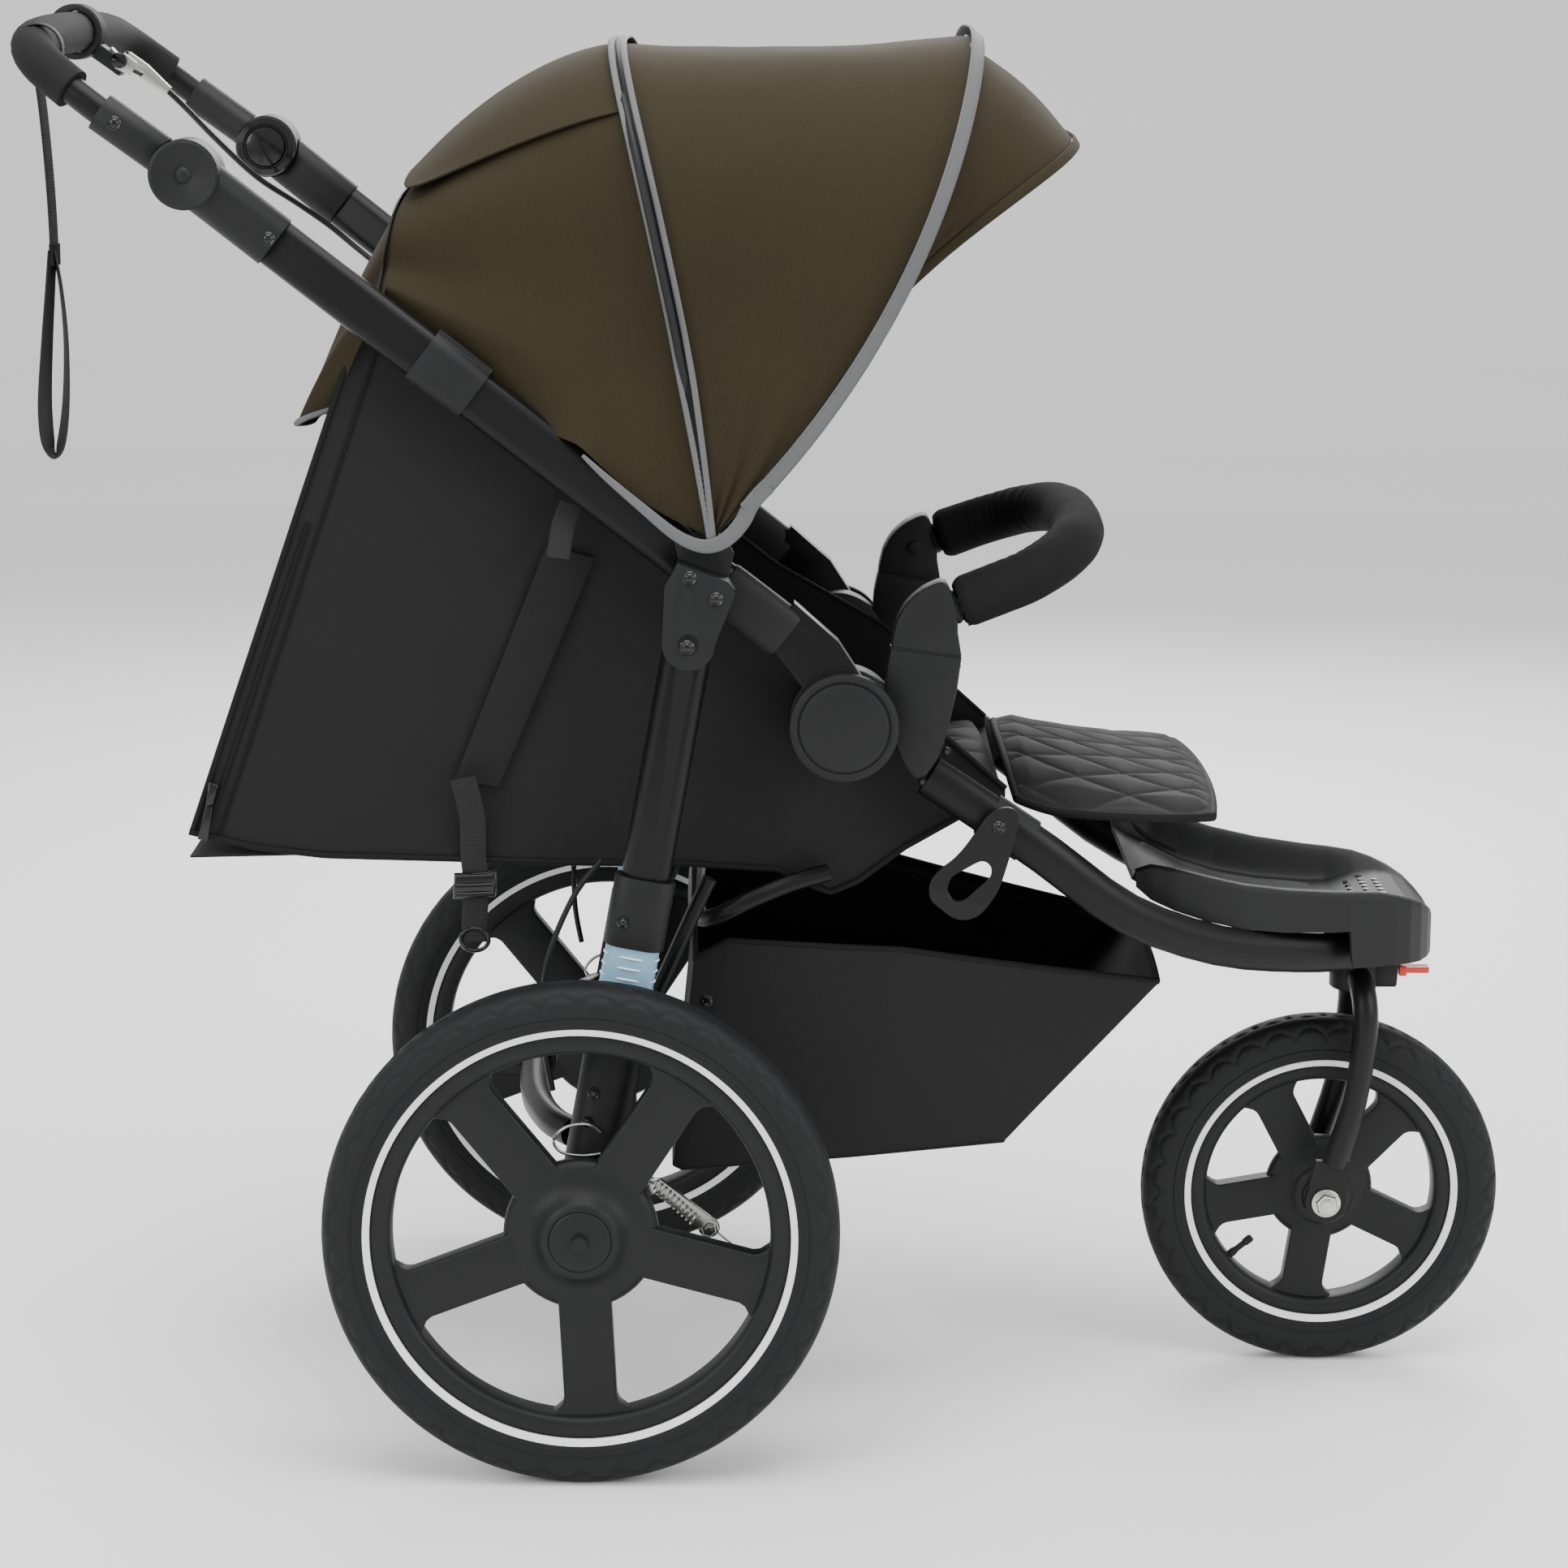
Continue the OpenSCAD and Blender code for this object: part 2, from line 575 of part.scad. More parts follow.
module canopy_front_bow() color("#111112") placed() {
    bow_wire(front_bow, 3);
    bow_eye(canopy_pivot, 243.2);
}

module canopy_visor_bow() color("#111112") placed() bow_wire(visor_bow, 2.5);

module canopy_rear() color("#4a3f28") placed() {
    back = rear_hoop;
    front = blend_bow(mid_bow, rear_hoop, 0.01, 0);
    canopy_sheet([back, blend_bow(back, front, 0.35, 16), blend_bow(back, front, 0.7, 14), front], [0, 0, 850]);
}

module canopy_front() color("#4a3f28") placed() {
    back = blend_bow(mid_bow, front_bow, 0.03, 0);
    front = blend_bow(mid_bow, front_bow, 0.99, 0);
    canopy_sheet([back, blend_bow(back, front, 0.5, -8), front], [100, 0, 800]);
}

module canopy_visor() color("#4a3f28") placed() {
    cap = bow_side([232, 0, 925], [303, 0, 1094], 220, 222, 0.35, 8);
    canopy_sheet([cap, blend_bow(cap, visor_bow, 0.5, 4), blend_bow(cap, visor_bow, 0.94, 0)], [200, 0, 920]);
}

// ---- bumper bar -------------------------------------------------------------

bumper_path = [[391, 0, 716], [388, 72, 714], [374, 128, 709], [346, 170, 697], [317, 184.5, 686], [299, 188, 679],
    [281, 188, 672]];

module bumper_bar() color("#1f2022") placed() sweep(smooth(mirrored(bumper_path), 3), 9, 9, [0, 0, 1], 16);

module bumper_pad() color("#1b1c1d") placed() difference() {
    sweep(smooth(mirrored([for (i = [0 : 4]) bumper_path[i]]), 3), bumper_r, bumper_r, [0, 0, 1], 16);
    sweep(smooth(mirrored(bumper_path), 3), 9.2, 9.2, [0, 0, 1], 16);
}

module bumper_button() pin([268, 0, 668], 5, bracket_in - 4, 187);
module bumper_button_left() color("#3b3c3f") placed() bumper_button();
module bumper_button_right() color("#3b3c3f") placed() mirror([0, 1, 0]) bumper_button();

// ---- seat back and harness --------------------------------------------------

module backrest() color("#202123") placed() hull() both_sides() {
    translate([-286, 190, 489]) cube([1, 1, 18]);
    translate([56, 168, 483]) cube([1, 1, 18]);
}

module harness_straps() color("#17181a") placed() both_sides() {
    translate([-190, 30, 510]) cube([130, 48, 8]);
    translate([-64, 38, 508]) rotate([0, 2.5, 0]) cube([110, 26, 3]);
}

module harness_buckle() color("#141516") placed() {
    difference() {
        translate([120, -28, 504]) cube([46, 56, 16]);
        translate([143, 0, 510.5]) cylinder(r = 10.3, h = 10);
    }
    translate([160, -14, 514]) cube([70, 28, 3]);
}

module buckle_button() color("#b0312a") placed() translate([143, 0, 513]) cylinder(r = 10, h = 9);

front_rails();
fold_housings();
fold_caps();
bumper_brackets();
fork_head();
footrest_tray();
basket_frame();
basket();
seat_base();
leg_pad();
front_fork();
front_axle();
front_tyre();
front_rim();
swivel_lock();
storage_hook();
push_arms();
leg_brackets();
canopy_clamps();
tilt_housings();
seat_tub();
recline_straps();
handlebar();
handle_knuckles();
handle_grip();
brake_clamp();
tilt_button_left();
tilt_button_right();
brake_lever();
brake_cable();
wrist_strap();
rear_legs();
leg_collars();
axle_struts();
spring_sleeves();
suspension_springs();
rear_cross_tube();
parking_pedal();
brake_arm_left();
brake_arm_right();
rear_tyre_left();
rear_tyre_right();
rear_rim_left();
rear_rim_right();
canopy_mid_bow();
canopy_front_bow();
canopy_visor_bow();
canopy_rear();
canopy_front();
canopy_visor();
bumper_bar();
bumper_pad();
bumper_button_left();
bumper_button_right();
backrest();
harness_straps();
harness_buckle();
buckle_button();
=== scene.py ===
"""Three-wheeled jogging stroller, dressed over its CAD frame.

Each sub-assembly is a class that holds its sizes and builds its own pieces.
Points are given in millimetres from the rear axle (X forward, Y left, Z up)
and turned into the shared frame by at().
"""
from __future__ import annotations

import json
import logging
import math
from dataclasses import dataclass
from enum import Enum
from typing import Callable, Iterable, Optional, Sequence

import bmesh
import bpy
from mathutils import Matrix, Vector, noise

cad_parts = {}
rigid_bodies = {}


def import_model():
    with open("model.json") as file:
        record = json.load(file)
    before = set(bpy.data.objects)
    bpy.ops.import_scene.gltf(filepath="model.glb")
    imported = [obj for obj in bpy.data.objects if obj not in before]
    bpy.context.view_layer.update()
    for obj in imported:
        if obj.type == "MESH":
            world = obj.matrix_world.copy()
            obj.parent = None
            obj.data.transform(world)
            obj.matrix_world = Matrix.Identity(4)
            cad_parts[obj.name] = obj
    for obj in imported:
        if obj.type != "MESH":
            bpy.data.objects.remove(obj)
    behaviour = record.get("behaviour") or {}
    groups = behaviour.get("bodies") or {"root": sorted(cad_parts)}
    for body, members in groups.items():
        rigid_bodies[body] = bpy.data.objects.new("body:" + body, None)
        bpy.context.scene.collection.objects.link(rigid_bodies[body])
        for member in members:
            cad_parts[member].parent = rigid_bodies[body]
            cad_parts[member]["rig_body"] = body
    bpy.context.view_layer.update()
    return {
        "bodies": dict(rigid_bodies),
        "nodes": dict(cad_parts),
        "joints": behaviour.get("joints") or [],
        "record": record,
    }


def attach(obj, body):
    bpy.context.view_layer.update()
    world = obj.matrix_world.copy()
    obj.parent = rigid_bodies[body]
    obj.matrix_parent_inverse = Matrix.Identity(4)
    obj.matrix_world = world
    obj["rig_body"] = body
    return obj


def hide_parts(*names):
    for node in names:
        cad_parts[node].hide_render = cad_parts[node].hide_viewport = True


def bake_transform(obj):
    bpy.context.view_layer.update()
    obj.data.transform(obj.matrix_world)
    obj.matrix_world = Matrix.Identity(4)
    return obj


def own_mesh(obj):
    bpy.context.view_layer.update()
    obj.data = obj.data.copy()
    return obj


LOG = logging.getLogger("stroller")
MIDDLE_X = 163.5
Point = Sequence[float]


def at(x: float, y: float, z: float) -> Vector:
    """Turn millimetres from the rear axle into a point of the shared frame."""
    return Vector(((x - MIDDLE_X) / 1000, y / 1000, z / 1000))


def mm(value: float) -> float:
    """Turn millimetres into metres."""
    return value / 1000


# ---- finishes ---------------------------------------------------------------


class Texture(Enum):
    """The kinds of surface detail a finish can carry."""

    PLAIN = "plain"
    GRAIN = "grain"
    LINEN = "linen"
    TWILL = "twill"
    WEBBING = "webbing"
    FOAM = "foam"


@dataclass(frozen=True)
class Finish:
    """One surface finish.

    Attributes:
        name: Name of the material.
        slot: Material slot of the part that it belongs to; not used.
        color: Main linear colour.
        second: Colour of the lighter or worn spots.
        rough: Roughness.
        texture: Kind of surface detail.
        metal: Metallic share.
        coat: Clear coat weight.
        sheen: Sheen weight of cloth.
        bump: Strength of the fine relief.
        spec: Specular level.
        clear: Transmission weight.
    """

    name: str
    slot: str
    color: tuple[float, float, float]
    second: tuple[float, float, float]
    rough: float
    texture: Texture = Texture.GRAIN
    metal: float = 0.0
    coat: float = 0.0
    sheen: float = 0.0
    bump: float = 0.1
    spec: float = 0.22
    clear: float = 0.0

    def material(self) -> bpy.types.Material:
        """Make the material, or give back the one made before.

        Returns:
            The material of this finish.
        """
        known = bpy.data.materials.get(self.name)
        if known:
            return known
        made = bpy.data.materials.new(self.name)
        made.use_nodes = True
        tree = made.node_tree
        shader = tree.nodes["Principled BSDF"]
        shader.inputs["Metallic"].default_value = self.metal
        shader.inputs["Coat Weight"].default_value = self.coat
        shader.inputs["Coat Roughness"].default_value = 0.12
        shader.inputs["Sheen Weight"].default_value = self.sheen
        shader.inputs["Sheen Roughness"].default_value = 0.45
        shader.inputs["Specular IOR Level"].default_value = self.spec
        shader.inputs["Transmission Weight"].default_value = self.clear
        self._detail(tree, shader)
        return made

    def _detail(self, tree: bpy.types.NodeTree, shader: bpy.types.Node) -> None:
        """Wire colour variation, roughness and relief.

        Args:
            tree: The node tree of the material.
            shader: Its shader node.
        """
        coords = tree.nodes.new("ShaderNodeTexCoord").outputs["Object"]
        fine = self._pattern(tree, coords)
        broad = self._noise(tree, coords, (1, 1, 1), 9.0, 3.0)
        tint = tree.nodes.new("ShaderNodeMix")
        tint.data_type = "RGBA"
        tint.inputs["A"].default_value = (*self.color, 1)
        tint.inputs["B"].default_value = (*self.second, 1)
        both = self._math(tree, "MULTIPLY_ADD", fine, 0.7, None)
        tree.links.new(self._math(tree, "MULTIPLY", broad, 0.3, None), both.node.inputs[2])
        tree.links.new(both, tint.inputs["Factor"])
        tree.links.new(tint.outputs["Result"], shader.inputs["Base Color"])
        rough = self._math(tree, "MULTIPLY_ADD", broad, 0.16, self.rough - 0.08)
        tree.links.new(rough, shader.inputs["Roughness"])
        relief = tree.nodes.new("ShaderNodeBump")
        relief.inputs["Strength"].default_value = self.bump
        relief.inputs["Distance"].default_value = 0.0006
        tree.links.new(fine, relief.inputs["Height"])
        tree.links.new(relief.outputs["Normal"], shader.inputs["Normal"])

    def _pattern(self, tree: bpy.types.NodeTree, coords: bpy.types.NodeSocket) -> bpy.types.NodeSocket:
        """Make the fine pattern of the surface.

        Args:
            tree: The node tree of the material.
            coords: Object coordinates.

        Returns:
            A value socket from 0 to 1.
        """
        if self.texture is Texture.LINEN:
            warp = self._noise(tree, coords, (1, 1, 0.16), 1500.0, 3.0)
            weft = self._noise(tree, coords, (0.16, 0.6, 1), 1500.0, 3.0)
            return self._math(tree, "MULTIPLY_ADD", warp, 0.5, None, self._math(tree, "MULTIPLY", weft, 0.5, None))
        if self.texture is Texture.TWILL:
            wave = tree.nodes.new("ShaderNodeTexWave")
            wave.bands_direction = "DIAGONAL"
            wave.inputs["Scale"].default_value = 420.0
            wave.inputs["Distortion"].default_value = 1.5
            tree.links.new(coords, wave.inputs["Vector"])
            speck = self._noise(tree, coords, (1, 1, 1), 900.0, 2.0)
            return self._math(
                tree, "MULTIPLY_ADD", wave.outputs["Fac"], 0.45, None, self._math(tree, "MULTIPLY", speck, 0.55, None)
            )
        if self.texture is Texture.WEBBING:
            wave = tree.nodes.new("ShaderNodeTexWave")
            wave.bands_direction = "Z"
            wave.inputs["Scale"].default_value = 190.0
            tree.links.new(coords, wave.inputs["Vector"])
            return wave.outputs["Fac"]
        scale = {Texture.FOAM: 1400.0, Texture.GRAIN: 2600.0, Texture.PLAIN: 120.0}[self.texture]
        return self._noise(tree, coords, (1, 1, 1), scale, 2.0)

    @staticmethod
    def _noise(
        tree: bpy.types.NodeTree,
        coords: bpy.types.NodeSocket,
        stretch: tuple[float, float, float],
        scale: float,
        detail: float,
    ) -> bpy.types.NodeSocket:
        """Add a stretched noise pattern.

        Args:
            tree: The node tree of the material.
            coords: Object coordinates.
            stretch: Scale along each axis.
            scale: Size of the grain, higher is finer.
            detail: Octaves of detail.

        Returns:
            The noise value socket.
        """
        place = tree.nodes.new("ShaderNodeMapping")
        place.inputs["Scale"].default_value = stretch
        grain = tree.nodes.new("ShaderNodeTexNoise")
        grain.inputs["Scale"].default_value = scale
        grain.inputs["Detail"].default_value = detail
        tree.links.new(coords, place.inputs["Vector"])
        tree.links.new(place.outputs["Vector"], grain.inputs["Vector"])
        return grain.outputs["Fac"]

    @staticmethod
    def _math(
        tree: bpy.types.NodeTree,
        kind: str,
        value: bpy.types.NodeSocket,
        second: float,
        third: Optional[float],
        link: Optional[bpy.types.NodeSocket] = None,
    ) -> bpy.types.NodeSocket:
        """Add a math node.

        Args:
            tree: The node tree of the material.
            kind: Blender's name of the operation.
            value: First input.
            second: Second input.
            third: Third input, or None to leave it.
            link: A socket for the third input, or None.

        Returns:
            The value socket.
        """
        made = tree.nodes.new("ShaderNodeMath")
        made.operation = kind
        tree.links.new(value, made.inputs[0])
        made.inputs[1].default_value = second
        if third is not None:
            made.inputs[2].default_value = third
        if link is not None:
            tree.links.new(link, made.inputs[2])
        return made.outputs[0]


TUBE = Finish("satin_black_tube", "tube", (0.005, 0.005, 0.0054), (0.009, 0.009, 0.0098), 0.36, bump=0.04, metal=0.3)
MOULDING = Finish("textured_moulding", "moulding", (0.0065, 0.0067, 0.0072), (0.012, 0.0123, 0.0132), 0.5, bump=0.16)
STEEL_BLACK = Finish("black_powder_coat", "steel_black", (0.005, 0.005, 0.0053), (0.008, 0.008, 0.0084), 0.4, bump=0.08)
STEEL = Finish("zinc_steel", "steel", (0.42, 0.42, 0.41), (0.6, 0.6, 0.58), 0.3, metal=1.0, bump=0.05)
TYRE = Finish("tyre_rubber", "tyre", (0.0055, 0.0057, 0.0063), (0.012, 0.0124, 0.0132), 0.62, bump=0.12)
RIM = Finish("wheel_moulding", "rim", (0.0062, 0.0064, 0.0069), (0.011, 0.0114, 0.0122), 0.46, bump=0.14)
WHITE_BAND = Finish("reflective_band", "tyre", (0.78, 0.78, 0.77), (0.85, 0.85, 0.84), 0.4, bump=0.05)
FOAM = Finish("grip_foam", "foam", (0.005, 0.005, 0.0052), (0.014, 0.014, 0.0145), 0.85, Texture.FOAM, bump=0.45)
CANOPY = Finish(
    "olive_linen", "canopy_cloth", (0.0098, 0.0076, 0.0031), (0.041, 0.0325, 0.0165), 0.9, Texture.LINEN,
    sheen=0.02, bump=0.3, spec=0.15,
)
SEAT = Finish(
    "charcoal_twill", "seat_cloth", (0.0045, 0.0045, 0.0048), (0.012, 0.012, 0.0127), 0.78, Texture.TWILL,
    sheen=0.03, bump=0.25, spec=0.22,
)
PAD = Finish(
    "bumper_cover_cloth", "seat_cloth", (0.0075, 0.0075, 0.0079), (0.0145, 0.0145, 0.0152), 0.9, Texture.TWILL,
    bump=0.25, spec=0.07,
)
BINDING = Finish("black_binding", "seat_cloth", (0.005, 0.005, 0.0053), (0.011, 0.011, 0.0116), 0.7, Texture.TWILL, bump=0.3, spec=0.12)
WEBBING = Finish("black_webbing", "webbing", (0.009, 0.009, 0.0095), (0.022, 0.022, 0.023), 0.65, Texture.WEBBING, bump=0.5)
PIPING = Finish("grey_piping", "canopy_cloth", (0.082, 0.083, 0.085), (0.135, 0.136, 0.139), 0.6, Texture.GRAIN, bump=0.12, spec=0.15)
STITCH = Finish("stitch_thread", "seat_cloth", (0.03, 0.03, 0.031), (0.05, 0.05, 0.051), 0.7, bump=0.1)
ZIP = Finish("zip_coil", "webbing", (0.003, 0.003, 0.0033), (0.009, 0.009, 0.0095), 0.5, bump=0.2, spec=0.12)
GLOSS = Finish("gloss_black", "gloss", (0.004, 0.004, 0.0044), (0.006, 0.006, 0.0065), 0.2, Texture.PLAIN, bump=0.0, coat=0.35)
RED = Finish("red_lever", "red", (0.55, 0.025, 0.012), (0.62, 0.04, 0.02), 0.3, bump=0.03, coat=0.3)
SLEEVE = Finish("frosted_sleeve", "sleeve", (0.2, 0.42, 0.58), (0.32, 0.55, 0.7), 0.3, bump=0.02, clear=0.25)
SPRING = Finish("blue_spring", "spring", (0.08, 0.2, 0.32), (0.12, 0.26, 0.4), 0.35, bump=0.03)
RING_WHITE = Finish("white_ring", "sleeve", (0.7, 0.74, 0.76), (0.8, 0.82, 0.84), 0.35, bump=0.03)
CABLE = Finish("cable_jacket", "cable", (0.008, 0.008, 0.0085), (0.014, 0.014, 0.015), 0.45, bump=0.04)


# ---- mesh tools -------------------------------------------------------------


class Maker:
    """Turns a bmesh into a finished piece of the scene."""

    @staticmethod
    def publish(
        shape: bmesh.types.BMesh,
        name: str,
        finish: Finish,
        body: Optional[str],
        sharp: float = 38.0,
        recalc: bool = True,
        wall: float = 0.0,
    ) -> bpy.types.Object:
        """Make an object of a bmesh.

        Args:
            shape: The shape; it is freed.
            name: Name of the piece.
            finish: Its finish.
            body: The body it rides on, or None to leave it on no body.
            sharp: Edge angle in degrees past which an edge stays sharp.
            recalc: Whether the normals are made to point outwards.
            wall: Thickness in millimetres given to an open sheet, to its inside.

        Returns:
            The new object.
        """
        bmesh.ops.remove_doubles(shape, verts=shape.verts, dist=2e-6)
        if recalc:
            bmesh.ops.recalc_face_normals(shape, faces=shape.faces)
        if wall:
            Maker.thicken(shape, wall)
        limit = math.radians(sharp)
        for face in shape.faces:
            face.smooth = True
        for edge in shape.edges:
            edge.smooth = len(edge.link_faces) == 2 and edge.calc_face_angle(0.0) < limit
        mesh = bpy.data.meshes.new(name)
        shape.to_mesh(mesh)
        shape.free()
        mesh.materials.append(finish.material())
        made = bpy.data.objects.new(name, mesh)
        bpy.context.scene.collection.objects.link(made)
        if body:
            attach(made, body)
        LOG.info("%s: %d faces", name, len(mesh.polygons))
        return made

    @staticmethod
    def thicken(shape: bmesh.types.BMesh, wall: float) -> None:
        """Give an open sheet its thickness.

        Args:
            shape: The sheet, which is changed.
            wall: Thickness in millimetres, to the inside.
        """
        mesh = bpy.data.meshes.new("sheet")
        shape.to_mesh(mesh)
        holder = bpy.data.objects.new("sheet", mesh)
        bpy.context.scene.collection.objects.link(holder)
        solid = holder.modifiers.new("wall", "SOLIDIFY")
        solid.thickness, solid.offset = mm(wall), -1.0
        graph = bpy.context.evaluated_depsgraph_get()
        made = bpy.data.meshes.new_from_object(holder.evaluated_get(graph))
        shape.clear()
        shape.from_mesh(made)
        bpy.data.objects.remove(holder)
        bpy.data.meshes.remove(mesh)
        bpy.data.meshes.remove(made)


def smooth_path(points: Iterable[Point], steps: int = 6) -> list[Vector]:
    """Run a smooth curve through points.

    Args:
        points: Points in millimetres from the rear axle.
        steps: Steps in each span.

    Returns:
        Points of the shared frame.
    """
    given = [at(*p) for p in points]
    made: list[Vector] = []
    last = len(given) - 1
    for i in range(last):
        a, b, c, d = given[max(i - 1, 0)], given[i], given[i + 1], given[min(i + 2, last)]
        for k in range(steps):
            t = k / steps
            made.append(
                0.5 * (2 * b + (c - a) * t + (2 * a - 5 * b + 4 * c - d) * t * t + (3 * b - a - 3 * c + d) * t**3)
            )
    return made + [given[last]]


def frames(path: Sequence[Vector], up: Callable[[int], Vector]) -> list[Matrix]:
    """Frames along a path: X sideways, Y along up, Z along the path.

    Args:
        path: Points of the path.
        up: The wished up direction at each point.

    Returns:
        One matrix for each point.
    """
    made = []
    for i, point in enumerate(path):
        ahead = (path[min(i + 1, len(path) - 1)] - path[max(i - 1, 0)]).normalized()
        side = ahead.cross(up(i))
        side = side.normalized() if side.length > 1e-6 else ahead.orthogonal().normalized()
        top = side.cross(ahead).normalized()
        made.append(Matrix.Translation(point) @ Matrix((side, top, ahead)).transposed().to_4x4())
    return made


def sweep(
    shape: bmesh.types.BMesh,
    path: Sequence[Vector],
    half_width: float,
    half_height: float,
    up: Callable[[int], Vector] = lambda i: Vector((0, 0, 1)),
    sides: int = 12,
    square: float = 1.0,
    scale: Callable[[float], float] = lambda t: 1.0,
    closed: bool = False,
) -> None:
    """Extrude an oval or rounded section along a path.

    Args:
        shape: The bmesh that receives it.
        path: Points of the path.
        half_width: Half the section's width, sideways.
        half_height: Half its height, along up.
        up: The up direction at each point.
        sides: Points round the section.
        square: 1 for an oval, less for a rounded rectangle.
        scale: Scale of the section at each share of the length.
        closed: Whether the path is a closed loop.
    """
    matrices = frames(path, up)
    ring = bmesh.ops.create_circle(shape, cap_ends=False, segments=sides, radius=1.0)["verts"]
    for vert in ring:
        x, y = vert.co.x, vert.co.y
        vert.co.x = math.copysign(abs(x) ** square, x) * half_width
        vert.co.y = math.copysign(abs(y) ** square, y) * half_height
    flat = [v.co.copy() for v in ring]

    def place(verts: Sequence[bmesh.types.BMVert], i: int) -> None:
        """Put a ring of vertices at point i of the path."""
        size = scale(i / (len(path) - 1))
        for vert, co in zip(verts, flat):
            vert.co = matrices[i] @ (co * size)

    place(ring, 0)
    edges = [shape.edges.get((ring[k], ring[(k + 1) % sides])) for k in range(sides)]
    if not closed:
        shape.faces.new(list(reversed(ring)))
    first, current = ring, ring
    for i in range(1, len(path)):
        made = bmesh.ops.extrude_edge_only(shape, edges=edges)["geom"]
        fresh = {v for v in made if isinstance(v, bmesh.types.BMVert)}
        following = []
        for vert in current:
            for edge in vert.link_edges:
                other = edge.other_vert(vert)
                if other in fresh:
                    following.append(other)
                    break
        place(following, i)
        current = following
        edges = [shape.edges.get((current[k], current[(k + 1) % sides])) for k in range(sides)]
    if closed:
        bmesh.ops.remove_doubles(shape, verts=first + current, dist=1e-5)
    else:
        shape.faces.new(current)


def lathe(
    shape: bmesh.types.BMesh, centre: Vector, profile: Sequence[Point], axis: Vector = Vector((0, 1, 0)), steps: int = 48
) -> None:
    """Spin a profile round an axis.

    Args:
        shape: The bmesh that receives it.
        centre: A point of the axis in the shared frame.
        profile: Pairs of radius and distance along the axis, in millimetres.
        axis: Direction of the axis.
        steps: Steps of the full turn.
    """
    axis = axis.normalized()
    out = axis.orthogonal().normalized()
    verts = [shape.verts.new(centre + out * mm(r) + axis * mm(d)) for r, d in profile]
    edges = [shape.edges.new((verts[k], verts[k + 1])) for k in range(len(verts) - 1)]
    bmesh.ops.spin(
        shape, geom=verts + edges, cent=centre, axis=axis, dvec=(0, 0, 0), angle=math.tau, steps=steps, use_merge=True
    )
    bmesh.ops.remove_doubles(shape, verts=shape.verts, dist=2e-6)


def plate(
    shape: bmesh.types.BMesh, outline: Sequence[Point], y0: float, y1: float, bevel: float = 0.0, segments: int = 2
) -> None:
    """Extrude an outline of X and Z across the stroller and round its edges.

    Args:
        shape: The bmesh that receives it.
        outline: Corners in millimetres.
        y0: One face's Y.
        y1: The other face's Y.
        bevel: Size of the rounded edge in millimetres.
        segments: Segments of the rounding.
    """
    own = bmesh.new()
    verts = [own.verts.new(at(x, y0, z)) for x, z in outline]
    face = own.faces.new(verts)
    made = bmesh.ops.extrude_face_region(own, geom=[face])["geom"]
    bmesh.ops.translate(own, verts=[v for v in made if isinstance(v, bmesh.types.BMVert)], vec=(0, mm(y1 - y0), 0))
    bmesh.ops.recalc_face_normals(own, faces=own.faces)
    if bevel:
        rims = [e for e in own.edges if abs(e.verts[0].co.y - e.verts[1].co.y) < 1e-7]
        bmesh.ops.bevel(
            own, geom=rims, offset=mm(bevel), segments=segments, profile=0.5, affect="EDGES", material=-1,
            clamp_overlap=True,
        )
    mesh = bpy.data.meshes.new("plate")
    own.to_mesh(mesh)
    own.free()
    shape.from_mesh(mesh)
    bpy.data.meshes.remove(mesh)


def surface(
    shape: bmesh.types.BMesh, across: int, along: int, place: Callable[[float, float], Vector]
) -> None:
    """Lay a grid over a surface.

    Args:
        shape: The bmesh that receives it.
        across: Faces across.
        along: Faces along.
        place: Gives the point for two shares from 0 to 1.
    """
    made = bmesh.ops.create_grid(shape, x_segments=across, y_segments=along, size=0.5)
    for vert in made["verts"]:
        vert.co = place(min(max(vert.co.x + 0.5, 0.0), 1.0), min(max(vert.co.y + 0.5, 0.0), 1.0))


def mirrored(points: Sequence[Point], side: int) -> list[tuple[float, float, float]]:
    """Points with Y times side."""
    return [(p[0], p[1] * side, p[2]) for p in points]


def rivet(shape: bmesh.types.BMesh, x: float, z: float, y: float, side: int, radius: float = 5.5) -> None:
    """Add a domed rivet head with a ring, facing outwards.

    Args:
        shape: The bmesh that receives it.
        x: Place along the stroller.
        z: Height.
        y: The face it sits on, as a positive distance from the middle.
        side: 1 for the left side and -1 for the right.
        radius: Radius of the head.
    """
    profile = [(0, -0.4), (radius, -0.4), (radius, 0.9), (radius * 0.86, 1.5), (radius * 0.7, 1.1), (radius * 0.62, 1.3)]
    profile += [(radius * 0.62 * math.cos(a), 1.3 + 1.3 * math.sin(a)) for a in (0.4, 0.8, 1.2)] + [(0, 2.6)]
    lathe(shape, at(x, y * side, z), profile, Vector((0, side, 0)), 20)


def rounded(outline: Sequence[Point], steps: int = 4) -> list[tuple[float, float]]:
    """Round a closed outline of X and Z.

    Args:
        outline: Corners that the curve runs through.
        steps: Points in each span.

    Returns:
        The points of the curve.
    """
    made = []
    count = len(outline)
    for i in range(count):
        a, b, c, d = (Vector(outline[(i + k) % count]) for k in (-1, 0, 1, 2))
        for k in range(steps):
            t = k / steps
            p = 0.5 * (2 * b + (c - a) * t + (2 * a - 5 * b + 4 * c - d) * t * t + (3 * b - a - 3 * c + d) * t**3)
            made.append((p.x, p.y))
    return made


